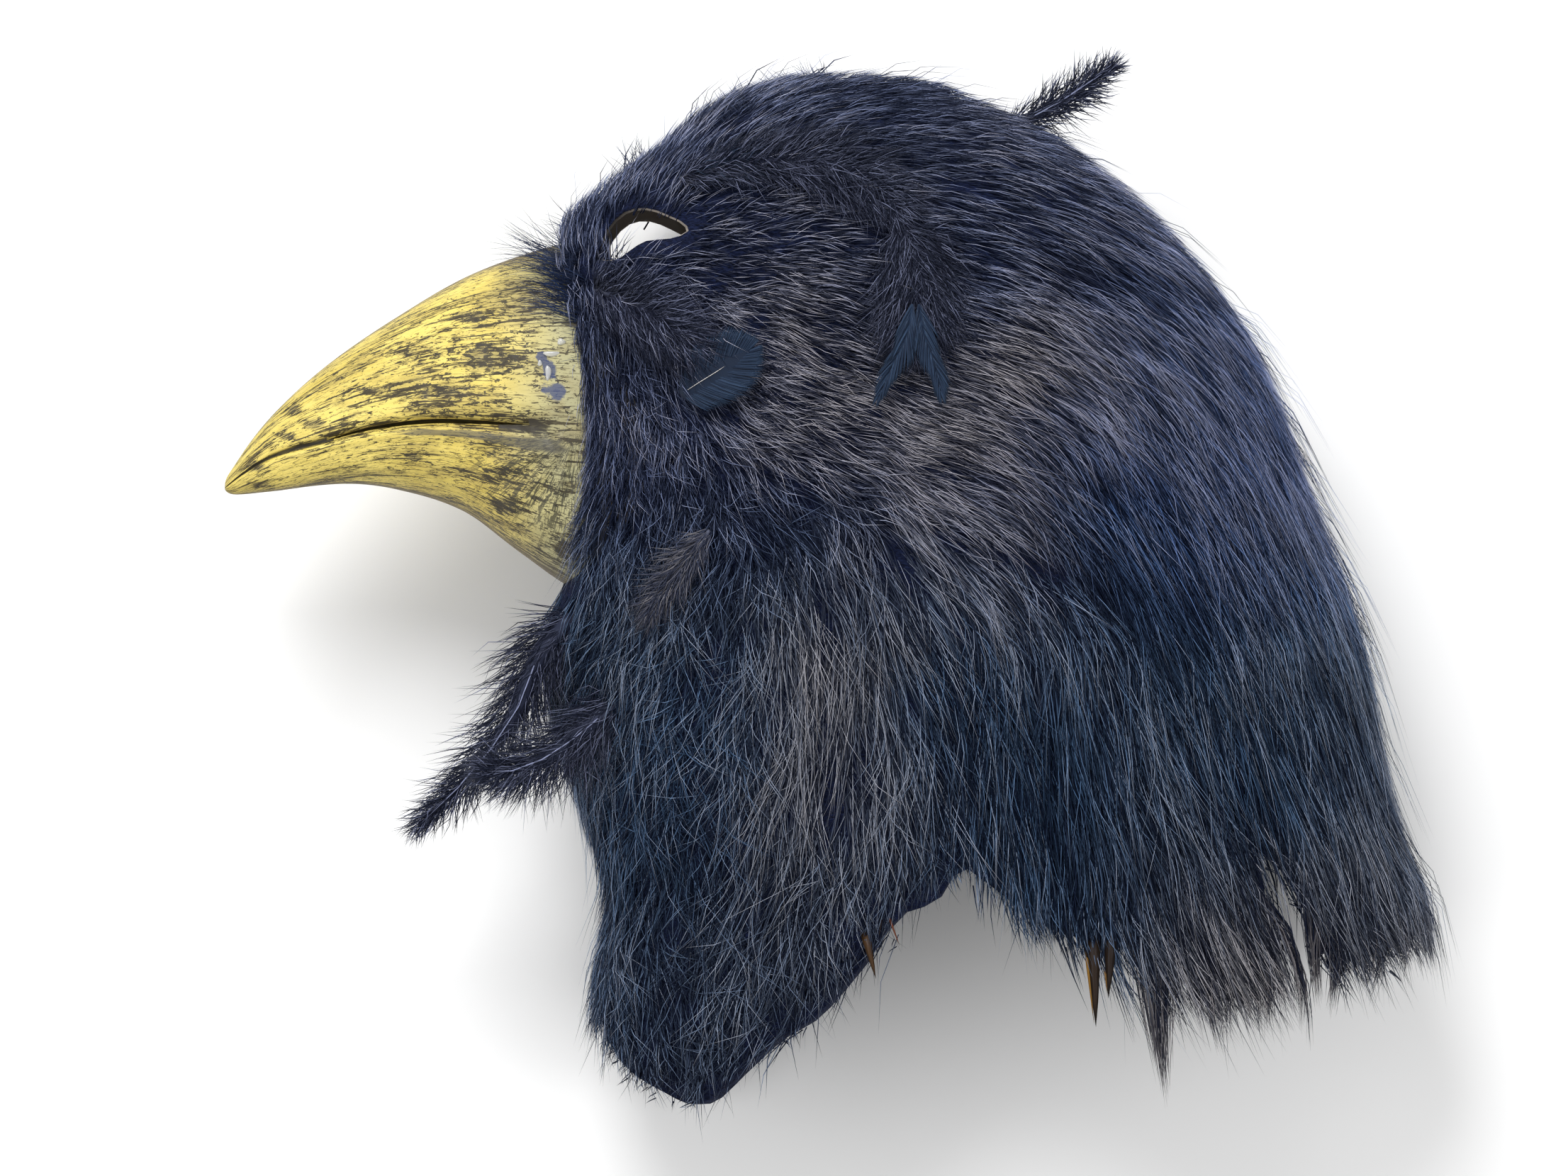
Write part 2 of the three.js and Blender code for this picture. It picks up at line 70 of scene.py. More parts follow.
# a smooth curve through [distance, value] pairs, cubic between them with the slope of the two
# neighbours; rounded measures along the root of the distance, so a form closes round at 0
def curveThrough(pairs, rounded=False):
    def measure(distance):
        distance = np.asarray(distance, float)
        return np.sqrt(np.maximum(distance, 0)) if rounded else distance

    pairs = np.array(pairs, float)
    at, value = measure(pairs[:, 0]), pairs[:, 1]
    before = np.maximum(np.arange(len(at)) - 1, 0)
    after = np.minimum(np.arange(len(at)) + 1, len(at) - 1)
    slope = (value[after] - value[before]) / (at[after] - at[before])

    def along(distance):
        place = np.clip(measure(distance), at[0], at[-1])
        i = np.clip(np.searchsorted(at, place, side="right") - 1, 0, len(at) - 2)
        span = at[i + 1] - at[i]
        t = (place - at[i]) / span
        late = t * t * (3 - 2 * t)
        bend = span * t * (1 - t) * (slope[i] * (1 - t) - slope[i + 1] * t)
        return value[i] * (1 - late) + value[i + 1] * late + bend

    return along


# a power that keeps the sign
def power(value, exponent):
    return np.sign(value) * np.abs(value) ** exponent


def smoothStep(low, high, value):
    t = np.clip((value - low) / (high - low), 0, 1)
    return t * t * (3 - 2 * t)


def unit(vectors):
    return vectors / np.maximum(np.linalg.norm(vectors, axis=-1, keepdims=True), 1e-9)


def dot(a, b):
    return (a * b).sum(-1, keepdims=True)


# smooth noise between -1 and 1: random values on a lattice, blended with smooth steps
lattice = chance.uniform(-1, 1, (64, 64, 16))


def noiseAt(u, v, w=0.0):
    u, v, w = np.broadcast_arrays(np.asarray(u, float), np.asarray(v, float), np.asarray(w, float))
    corner = [np.floor(a).astype(int) for a in (u, v, w)]
    part = [a - c for a, c in zip((u, v, w), corner)]
    part = [p * p * (3 - 2 * p) for p in part]
    total = np.zeros(u.shape)
    for step in np.ndindex(2, 2, 2):
        share = np.ones(u.shape)
        for p, s in zip(part, step):
            share = share * (p if s else 1 - p)
        i, j, k = [(c + s) % n for c, s, n in zip(corner, step, lattice.shape)]
        total += share * lattice[i, j, k]
    return total


# layers of that noise, each twice as fine and half as strong
def layeredNoise(u, v, w=0.0, layers=3):
    return sum(noiseAt(u * 2**k, v * 2**k, w * 2**k + 3.7 * k) * 0.5**k for k in range(layers))


# 1 at a place and falling off on both sides of it
def bell(value, at, width):
    return np.exp(-(((value - at) / width) ** 2))


# the angles of a closed ring's points
def turnsOf(count):
    return np.linspace(0, 2 * np.pi, count, endpoint=False)[None, :]


# the faces of a grid of rows by columns, the last column joined to the first
def gridFaces(rows, columns):
    r = np.arange(rows - 1)[:, None]
    c = np.arange(columns)[None, :]
    nextC = (c + 1) % columns
    return np.stack([r * columns + c, r * columns + nextC, (r + 1) * columns + nextC,
                     (r + 1) * columns + c], axis=-1).reshape(-1, 4)


# the same with a cap at each end, counted from the point with the number start
def tubeFaces(rows, columns, start=0):
    ring = np.arange(columns)[None, :] + start
    return [gridFaces(rows, columns) + start, ring[:, ::-1], ring + (rows - 1) * columns]


def putMesh(name, points, faces, material, inMm=True):
    mesh = bpy.data.meshes.new(name)
    points = inScene(points) if inMm else np.asarray(points)
    mesh.vertices.add(len(points))
    mesh.vertices.foreach_set("co", points.astype(np.float32).ravel())
    faces = [np.asarray(f) for f in (faces if isinstance(faces, list) else [faces])]
    corners = np.concatenate([f.ravel() for f in faces])
    sides = np.concatenate([np.full(len(f), f.shape[1]) for f in faces])
    starts = np.concatenate([[0], np.cumsum(sides)[:-1]])
    mesh.loops.add(len(corners))
    mesh.loops.foreach_set("vertex_index", corners.astype(np.int32))
    mesh.polygons.add(len(starts))
    mesh.polygons.foreach_set("loop_start", starts.astype(np.int32))
    mesh.polygons.foreach_set("use_smooth", np.ones(len(starts), bool))
    mesh.update(calc_edges=True)
    mesh.validate()
    piece = bpy.data.objects.new(name, mesh)
    bpy.context.scene.collection.objects.link(piece)
    mesh.materials.append(material)
    return piece


def putColours(piece, name, colours):
    layer = piece.data.color_attributes.new(name, "FLOAT_COLOR", "POINT")
    full = np.ones((len(colours), 4), np.float32)
    full[:, :3] = colours
    layer.data.foreach_set("color", full.ravel())


def putNumbers(piece, name, numbers):
    layer = piece.data.attributes.new(name, "FLOAT", "POINT")
    layer.data.foreach_set("value", np.asarray(numbers, np.float32).ravel())


def ownPiece(piece, slotName, *nodes):
    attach(piece, "root")
    if nodes:
        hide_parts(*nodes)
    return piece


# turns every face of a closed piece outward
def turnedOut(piece):
    bm = bmesh.new()
    bm.from_mesh(piece.data)
    bmesh.ops.recalc_face_normals(bm, faces=bm.faces)
    bm.to_mesh(piece.data)
    bm.free()


# takes the cutters' forms out of a piece
def cutWith(piece, *cutters):
    for cutter in cutters:
        cut = piece.modifiers.new("cut", "BOOLEAN")
        cut.operation = "DIFFERENCE"
        cut.object = cutter
        cut.solver = "EXACT"
    bpy.context.view_layer.update()
    ready = bpy.data.meshes.new_from_object(
        piece.evaluated_get(bpy.context.evaluated_depsgraph_get()))
    piece.modifiers.clear()
    piece.data = ready


def discard(*pieces):
    for piece in pieces:
        bpy.data.objects.remove(piece, do_unlink=True)


# a colour from 0 to 255 as the light that it stands for
def linear(colour):
    c = np.asarray(colour, float) / 255
    return np.where(c <= 0.04045, c / 12.92, ((c + 0.055) / 1.055) ** 2.4)


# one value in a material's sums: a socket, with the operators that the sums below use
class Wire:
    def __init__(self, maker, socket):
        self.maker = maker
        self.socket = socket

    def maths(self, operation, *others):
        return self.maker.node("ShaderNodeMath", {"operation": operation},
                               dict(enumerate((self, *others))))

    def __add__(self, other):
        return self.maths("ADD", other)

    def __sub__(self, other):
        return self.maths("SUBTRACT", other)

    def __mul__(self, other):
        return self.maths("MULTIPLY", other)

    def __rsub__(self, other):
        return self.maker.node("ShaderNodeMath", {"operation": "SUBTRACT"}, {0: other, 1: self})

    __radd__ = __add__
    __rmul__ = __mul__


class Maker:
    def __init__(self, name):
        self.material = bpy.data.materials.new(name)
        self.material.use_nodes = True
        self.tree = self.material.node_tree
        self.tree.nodes.clear()

    # inputs may be numbers, colours or wires, by name or by number
    def node(self, kind, settings=None, inputs=None, output=0):
        new = self.tree.nodes.new(kind)
        for key, value in (settings or {}).items():
            setattr(new, key, value)
        for key, value in (inputs or {}).items():
            if isinstance(value, Wire):
                self.tree.links.new(value.socket, new.inputs[key])
            else:
                new.inputs[key].default_value = value
        return Wire(self, new.outputs[output]) if new.outputs else None

    def objectPlace(self):
        return self.node("ShaderNodeTexCoord", output="Object")

    def attribute(self, name, output="Fac"):
        return self.node("ShaderNodeAttribute", {"attribute_name": name}, output=output)

    def scaled(self, place, scale, rotation=(0, 0, 0)):
        return self.node("ShaderNodeMapping", None,
                         {"Vector": place, "Scale": scale, "Rotation": rotation})

    def noise(self, place, scale, detail=4.0, roughness=0.55, distortion=0.0):
        return self.node("ShaderNodeTexNoise", None,
                         {"Vector": place, "Scale": scale, "Detail": detail,
                          "Roughness": roughness, "Distortion": distortion})

    def step(self, value, low, high):
        return self.node("ShaderNodeMapRange", {"interpolation_type": "SMOOTHSTEP"},
                         {"Value": value, "From Min": low, "From Max": high})

    def mix(self, factor, first, second):
        colours = [c if isinstance(c, Wire) else (*c, 1) for c in (first, second)]
        return self.node("ShaderNodeMix", {"data_type": "RGBA"},
                         {0: factor, 6: colours[0], 7: colours[1]}, output=2)

    def bump(self, height, distance, strength=1.0):
        return self.node("ShaderNodeBump", None,
                         {"Height": height, "Distance": distance, "Strength": strength})

    def finish(self, inputs):
        shader = self.node("ShaderNodeBsdfPrincipled", None, inputs)
        self.node("ShaderNodeOutputMaterial", None, {"Surface": shader})
        return self.material


print("kit ready")


# a form's outlines by the drop below its top, each through pairs of drop and value
def formOf(top, floor, **outlines):
    curves = {name: curveThrough(pairs, name != "middle") for name, pairs in outlines.items()}
    return {"top": top, "floor": floor, **curves}


furForm = formOf(
    mask["crownY"], 0.0,
    front=[[0, 258], [4, 227], [13, 205], [31, 182], [49, 157], [60, 145], [79, 139], [109, 144],
           [141, 153], [164, 155], [194, 148], [229, 137], [274, 140], [324, 156], [349, 162],
           [384, 156], [441, 157]],
    back=[[0, 258], [4, 300], [13, 322], [31, 357], [58, 391], [94, 421], [130, 440], [184, 459],
          [238, 479], [292, 490], [328, 499], [346, 508], [441, 514]],
    depth=[[0, 0], [4, 30], [11, 47], [21, 62], [41, 79], [61, 88], [91, 96], [121, 99],
           [154, 98], [204, 92], [264, 85], [324, 78], [441, 70]],
    middle=[[0, 90], [154, 90], [264, 82], [441, 68]])
headForm = formOf(
    mask["latexTopY"], mask["floorFur"],
    front=[[0, 258], [8, 207], [20, 186], [40, 163], [60, 149], [95, 151], [140, 160],
           [220, 160], [300, 172]],
    back=[[0, 258], [8, 306], [20, 336], [50, 370], [95, 391], [140, 391], [200, 372],
          [250, 356], [300, 352]],
    depth=[[0, 0], [8, 44], [20, 62], [50, 80], [90, 88], [130, 88], [180, 81], [240, 67],
           [300, 58]],
    middle=[[0, 90], [180, 90], [300, 78]])
hemHeight = curveThrough([
    [156, 48], [166, 25], [186, 11], [200, 7], [216, 20], [232, 34], [250, 45], [268, 66],
    [280, 86], [297, 93], [305, 101], [314, 108], [324, 99], [337, 88], [352, 80], [372, 76],
    [395, 67], [425, 60], [452, 62], [480, 68], [516, 80]])


# the point of a form at a drop below its top and an angle round it, where 0 is the nape and a
# half turn the front: an ellipse of the form's half length and half depth, with its cosine and
# sine raised to the side's roundness
def sectionPoint(form, drop, turn, inset=0.0):
    drop, turn, inset = np.broadcast_arrays(*[np.asarray(a, float) for a in (drop, turn, inset)])
    shrink = inset * np.clip(drop / 8, 0, 1)
    front, back = form["front"](drop) + shrink, form["back"](drop) - shrink
    along, across = np.cos(turn), np.sin(turn)
    fullness = np.where(across < 0, mask["roundFar"], mask["roundNear"])
    x = (front + back) / 2 + (back - front) / 2 * power(along, fullness)
    y = form["top"] - drop - inset * np.clip(1 - drop / 30, 0, 1)
    z = form["middle"](drop) + (form["depth"](drop) - shrink) * power(across, fullness)
    return np.stack([x, y, np.maximum(z, form["floor"] + inset)], axis=-1)


# the near surface's height over x and y
def furHeight(x, y):
    drop = np.maximum(furForm["top"] - np.asarray(y, float), 0.5)
    front, back = furForm["front"](drop), furForm["back"](drop)
    u = np.abs((x - (front + back) / 2) / ((back - front) / 2))
    rise = np.maximum(1 - u ** (2 / mask["roundNear"]), 0) ** (mask["roundNear"] / 2)
    return furForm["middle"](drop) + furForm["depth"](drop) * rise


# the drop of the hem below the crown, for a turn round the fur
def hemDrop(turn):
    level = sectionPoint(furForm, mask["hemLevel"], turn)
    return furForm["top"] - hemHeight(level[..., 0])


# a point on the fur by turn and share of the way from crown to hem, its outward normal, and the
# two directions along the surface that the normal is the cross product of
def furSurface(turn, share, inset=0.0):
    step = 1e-3

    def at(t, s):
        drop = hemDrop(t) * np.maximum(s, step) ** mask["crowding"]
        return sectionPoint(furForm, drop, t, inset)

    across = (at(turn + step, share) - at(turn - step, share)) / (2 * step)
    down = (at(turn, share + step) - at(turn, share - step)) / (2 * step)
    return at(turn, share), unit(np.cross(across, down)), across, down


eye = {
    "x": 177.5, "y": 370.0, "halfHeight": 12,
    "clear": (0.5, 1.5, 19.0, 11.0),  # ellipse free of hair: its middle from x, y and half sizes
    "outline": np.array([[-18.2, -7.6], [-16.6, -2], [-14.2, 3], [-11, 7.2], [-7.2, 10.2],
                         [-3, 11.6], [1.5, 11.7], [6, 10.5], [11, 8.3], [15.6, 6], [18.2, 3.8],
                         [18.7, 1.9], [15.5, 0], [11.5, -1], [6.5, -1.3], [1.9, -1.7],
                         [-1.6, -3.3], [-5, -5.6], [-8.4, -8], [-11.6, -9.2], [-15.4, -9.1]]),
}


def plainBlock(name, rings):
    piece = putMesh(name, rings.reshape(-1, 3), tubeFaces(len(rings), rings.shape[1]),
                    bpy.data.materials.new("none"))
    turnedOut(piece)
    return piece


# a block with an outline in x and y that goes straight through both sides
def blockThrough(name, outline):
    return plainBlock(name, np.stack([np.column_stack([outline, np.full(len(outline), z)])
                                      for z in mask["cutReach"]]))


# the eye hole's outline round its middle
def eyeCutter(grow):
    return blockThrough("eyeCutter", eye["outline"] * (1 + grow / eye["halfHeight"])
                        + (eye["x"], eye["y"]))


# how the fur lies: x, y, direction in degrees from +X, length of the hair, how far it stands off,
# paleness, warmth and how much single hairs stray
coat = {
    "comb": np.array([
        [154, 386, 84, 11, 0.35, 0.45, 0.35, 0.25], [184, 410, 50, 13, 0.3, 0.45, 0.35, 0.15],
        [232, 434, 20, 15, 0.3, 0.36, 0.35, 0.12], [280, 436, 0, 15, 0.3, 0.3, 0.35, 0.12],
        [310, 417, -12, 15, 0.4, 0.36, 0.45, 0.1], [345, 400, -24, 20, 0.4, 0.45, 0.35, 0.1],
        [387, 348, -38, 26, 0.4, 0.66, 0.2, 0.1], [420, 325, -46, 32, 0.4, 0.66, 0.1, 0.12],
        [433, 286, -54, 38, 0.4, 0.58, 0.1, 0.14], [460, 240, -58, 42, 0.4, 0.36, 0.0, 0.14],
        [229, 374, -4, 12, 0.4, 0.65, 0.5, 0.15], [215, 355, -8, 12, 0.35, 0.75, 0.6, 0.15],
        [240, 335, -20, 12, 0.35, 0.8, 0.8, 0.1], [255, 300, -8, 12, 0.35, 0.75, 0.8, 0.12],
        [230, 290, -14, 13, 0.35, 0.7, 0.75, 0.15], [262, 350, -16, 13, 0.35, 0.5, 0.5, 0.1],
        [300, 350, -22, 15, 0.35, 0.5, 0.3, 0.1], [320, 318, -20, 16, 0.35, 0.95, 0.85, 0.1],
        [340, 290, -34, 22, 0.35, 0.75, 0.35, 0.12], [300, 285, -12, 14, 0.35, 0.9, 0.85, 0.1],
        [310, 262, -30, 24, 0.35, 0.6, 0.5, 0.16], [364, 271, -58, 36, 0.4, 0.2, 0.0, 0.14],
        [387, 248, -60, 42, 0.45, 0.22, 0.0, 0.12],
        [170, 325, -40, 14, 0.5, 0.45, 0.35, 0.4], [180, 300, -48, 16, 0.5, 0.5, 0.35, 0.4],
        [170, 270, -60, 16, 0.45, 0.45, 0.3, 0.4], [200, 265, -55, 18, 0.45, 0.45, 0.3, 0.4],
        [230, 255, -42, 20, 0.4, 0.13, 0.2, 0.35], [165, 235, -75, 18, 0.45, 0.3, 0.2, 0.4],
        [205, 235, -110, 22, 0.45, 0.26, 0.2, 0.45], [260, 225, -70, 28, 0.4, 0.18, 0.3, 0.25],
        [151, 203, -122, 24, 0.5, 0.24, 0.1, 0.3], [170, 190, -115, 26, 0.4, 0.22, 0.1, 0.3],
        [205, 195, -112, 24, 0.35, 0.28, 0.05, 0.5], [200, 160, -105, 26, 0.35, 0.24, 0.0, 0.55],
        [160, 158, -118, 30, 0.45, 0.22, 0.0, 0.3], [148, 128, -114, 30, 0.5, 0.2, 0.05, 0.3],
        [253, 209, -92, 36, 0.45, 0.7, 0.75, 0.2], [250, 160, -96, 38, 0.4, 0.5, 0.6, 0.2],
        [240, 130, -104, 34, 0.35, 0.34, 0.4, 0.3], [190, 128, -98, 30, 0.3, 0.2, 0.05, 0.5],
        [205, 68, -100, 28, 0.3, 0.16, 0.25, 0.5], [169, 60, -80, 28, 0.35, 0.16, 0.15, 0.5],
        [190, 25, -90, 24, 0.3, 0.14, 0.3, 0.4], [250, 100, -96, 30, 0.3, 0.22, 0.35, 0.4],
        [270, 75, -80, 26, 0.3, 0.15, 0.4, 0.4],
        [301, 194, -66, 38, 0.4, 0.18, 0.0, 0.18], [343, 173, -88, 46, 0.4, 0.18, 0.0, 0.12],
        [330, 120, -84, 44, 0.35, 0.2, 0.0, 0.1], [360, 100, -80, 46, 0.35, 0.2, 0.1, 0.1],
        [403, 218, -62, 44, 0.4, 0.34, 0.05, 0.14], [433, 173, -72, 48, 0.4, 0.28, 0.0, 0.12],
        [475, 200, -62, 44, 0.4, 0.35, 0.2, 0.12], [493, 130, -72, 44, 0.4, 0.35, 0.3, 0.12],
        [403, 83, -66, 46, 0.35, 0.3, 0.75, 0.12], [463, 113, -72, 46, 0.4, 0.3, 0.5, 0.12],
        [500, 85, -55, 36, 0.4, 0.25, 0.6, 0.15], [425, 75, -62, 44, 0.35, 0.3, 0.8, 0.12],
    ]),
    # the lowest that hair reaches, x and y along the near side
    "fringe": np.array([
        [152, 60], [156, 37], [163, 23], [179, 12], [200, 0], [213, 14], [227, 30], [243, 33],
        [257, 47], [269, 56], [272, 72], [280, 86], [296, 91], [305, 101], [314.6, 108],
        [324.6, 98], [336, 88], [349.5, 78], [359, 81], [369, 80], [379, 68], [389, 48],
        [396, 26], [399, 31], [406, 41], [419, 40], [436, 42], [447, 46], [464, 46], [475, 52],
        [489, 57], [499, 64], [512, 72], [518, 88],
    ], float),
    # the gap between two locks of the cape: its two edges as y and x
    "gapLeft": np.array([[40, 449], [53, 448.5], [68, 444.9], [89, 438.9], [116, 434.4]]),
    "gapRight": np.array([[40, 463], [54, 463.5], [78, 465], [101, 452.4], [116, 435]]),
    "deep": linear((5, 11, 34)),
    "blue": linear((82, 112, 172)),
    "teal": linear((84, 118, 150)),
    "brown": linear((162, 156, 156)),
    # painted highlight: the pale colour added to the brightest hairs for the light that glints on
    # them
    "glint": linear((206, 196, 186)),
    "skin": 3.6,  # how far below the fur's surface the hair starts
    "stand": (3.6, 8.0),  # height of the hair's tip over its root: at least, and more by the comb
    "lock": (52.0, 10.0),  # length and width of the bands of paler and darker hair
    "strides": 6,  # how many steps a tuft's guide takes from root to tip
    "floor": 0.3,  # the lowest that hair lies
    "combBlur": 160,  # the squared distance over which the comb's points blend
    "ragged": (-9, 5),  # how far below and above the fringe tufts end
    "frontX": 320, "frontLift": 5,  # up to this x, on the bib, the fringe is so much higher
    "gapShare": 0.9,  # share of the tufts that end at the gap
    "tealFrom": 285, "tealTo": 215, "tealShare": 0.75,  # y where teal starts and is full
}
# how the hairs of a tuft differ, as shares of the tuft's own length, height and brightness
hair = {
    "tuftLength": (0.8, 1.2),
    "guide": 1.3,  # how much longer the guide is than the tuft
    "reach": (0.68, 1.1),
    "strayReach": 1.28,
    "height": (0.45, 0.6),  # at least, and more by chance
    "strayHeight": (1.45, 1.1),  # for all stray hairs, and more where seen from the side
    "pressed": 0.75,  # how much lower hair is under a flat feather
    "bright": (0.1, 4.4, 4.4),  # for all hairs, for the brightest, and how few those are
    "brightest": 1.9,
    "width": (0.8, 1.2),
    "taper": 0.8,
}


# the comb's values at x, y, each weighted by one over its distance to the power 3.2
def combAt(x, y):
    comb = coat["comb"]
    away = (x[..., None] - comb[:, 0]) ** 2 + (y[..., None] - comb[:, 1]) ** 2
    weight = (away + coat["combBlur"]) ** -1.6
    weight /= weight.sum(-1, keepdims=True)
    angle = np.radians(comb[:, 2])
    turned = np.arctan2(weight @ np.sin(angle), weight @ np.cos(angle))
    return turned, [weight @ comb[:, k] for k in range(3, 8)]


# strands as thin three-sided cones along their paths: at each path point three corners a third
# of a turn apart, flatter off the surface than along it, and one point at the tip
def strandMesh(name, paths, widths, outward, colours, material, flat=0.55):
    count, steps = paths.shape[:2]
    way = unit(np.gradient(paths, axis=1))
    side = unit(np.cross(way, outward))
    up = np.cross(side, way)
    turns = np.radians([90, 210, 330])[None, None, :, None]
    flat = np.broadcast_to(flat, count)[:, None, None, None]
    rings = np.cos(turns) * side[:, :-1, None, :] + flat * np.sin(turns) * up[:, :-1, None, :]
    rings = paths[:, :-1, None, :] + widths[:, :-1, None, None] / 2 * rings
    points = np.concatenate([rings.reshape(count, -1, 3), paths[:, -1:, :]], axis=1)
    points[..., 2] = np.maximum(points[..., 2], coat["floor"])
    quads = gridFaces(steps - 1, 3)[:, ::-1]
    tip = 3 * (steps - 1)
    last = tip - 3
    ends = np.array([[last + 1, last, tip], [last + 2, last + 1, tip], [last, last + 2, tip],
                     [0, 1, 2]])
    start = (np.arange(count) * (tip + 1))[:, None, None]
    piece = putMesh(name, points.reshape(-1, 3),
                    [(start + quads).reshape(-1, 4), (start + ends).reshape(-1, 3)], material)
    shades = np.concatenate([np.repeat(colours[:, :-1], 3, axis=1), colours[:, -1:]], axis=1)
    putColours(piece, "hairColour", shades.reshape(-1, 3))
    return piece


# the fur's edge over the beak's root, and the stretch in y and half the width in z that it spans
beakEdge = curveThrough([[205, 158], [222, 155], [250, 150], [285, 151], [310, 150], [335, 147],
                         [352, 143], [372, 140]])
beakRoot = {"low": 222, "high": 372, "half": 60}


# true between the two edges of the cape's gap
def inGap(x, y):
    left, right = [np.interp(y, *coat[edge].T) for edge in ("gapLeft", "gapRight")]
    return (x > left) & (x < right) & (y < coat["gapLeft"][-1, 0])


# false in the eye hole, over the beak's root, in the cape's gap and on the pressed side
def clearOfHoles(spot):
    x, y, z = spot[..., 0], spot[..., 1], spot[..., 2]
    dx, dy, halfX, halfY = eye["clear"]
    inEye = np.hypot((x - eye["x"] - dx) / halfX, (y - eye["y"] - dy) / halfY) < 1
    overBeak = (x < beakEdge(y)) & (y > beakRoot["low"]) & (y < beakRoot["high"]) \
        & (np.abs(z - mask["middleZ"]) < beakRoot["half"])
    return ~(inEye | overBeak | (z < 2) | inGap(x, y))


# places spread evenly over a window of the fur: as likely as the area that each stands for
def scattered(count, window):
    (turnFrom, shareFrom), (turnTo, shareTo) = window
    tries = count * 5
    turn = chance.uniform(turnFrom * np.pi, turnTo * np.pi, tries)
    share = chance.uniform(shareFrom, shareTo, tries)
    spot, _, across, down = furSurface(turn, share)
    area = np.linalg.norm(np.cross(across, down), axis=-1) * clearOfHoles(spot)
    chosen = chance.choice(len(turn), count, replace=False, p=area / area.sum())
    return turn[chosen], share[chosen]


# walks over the fur from each root in the comb's direction: each stride is solved for the turn
# and the share whose two surface directions add up to it
def combedPaths(turn, share, reach, sway):
    paths, normals, strides = [], [], coat["strides"]
    for _ in range(strides + 1):
        spot, normal, across, down = furSurface(turn, share)
        paths.append(spot)
        normals.append(normal)
        angle = combAt(spot[:, 0], spot[:, 1])[0] + sway
        way = np.stack([np.cos(angle), np.sin(angle), 0 * angle], -1)
        way = unit(way - normal * dot(way, normal)) * (reach / strides)[:, None]
        aa, ab, bb = dot(across, across), dot(across, down), dot(down, down)
        aw, bw = dot(across, way), dot(down, way)
        size = aa * bb - ab**2 + 1e-6 * bb**2 + 1e-6
        turn = turn + np.clip((aw * bb - bw * ab) / size, -0.25, 0.25)[:, 0]
        share = share + np.clip((bw * aa - aw * ab) / size, -0.1, 0.1)[:, 0]
    return np.stack(paths, 1), np.stack(normals, 1)


# hair that would hang below the fringe is shorter, and most that would cross the cape's gap
def trimmed(x, y, guide, length, full):
    ragged = chance.uniform(*coat["ragged"], len(x))
    floor = np.interp(guide[:, -1, 0], *coat["fringe"].T) + ragged
    floor = floor + coat["frontLift"] * (x < coat["frontX"])
    fall = np.maximum(y - guide[:, -1, 1], 1)
    length = length * np.where(guide[:, -1, 1] < floor,
                               np.clip((y - floor) / fall * 1.32, 0.1, 1), 1)
    ends = chance.random(len(x)) < coat["gapShare"]
    crossing = inGap(guide[..., 0], guide[..., 1]) & ends[:, None]
    first = np.where(crossing.any(1), crossing.argmax(1), coat["strides"] + 1)
    return np.minimum(length, full * np.clip((first - 0.6) / coat["strides"], 0.08, 1))


# from deep at the root over the place's own colour to painted glints: highlights painted on as a
# pale colour where a hair is brightest
def hairColours(x, y, warm, bright, run):
    tone = bright[..., None] * (0.3 + 0.7 * run**0.7)
    teal = coat["tealShare"] * smoothStep(coat["tealFrom"], coat["tealTo"],
                                          y + 12 * noiseAt(x / 40, y / 40))
    body = coat["blue"] * (1 - teal[:, None]) + coat["teal"] * teal[:, None]
    body = (body * (1 - warm[:, None]) + coat["brown"] * warm[:, None])[:, None, None, :]
    even = np.minimum(tone, 1)[..., None]
    return (coat["deep"] * (1 - even) + body * even
            + coat["glint"] * np.maximum(tone - 1, 0)[..., None] * 0.7)


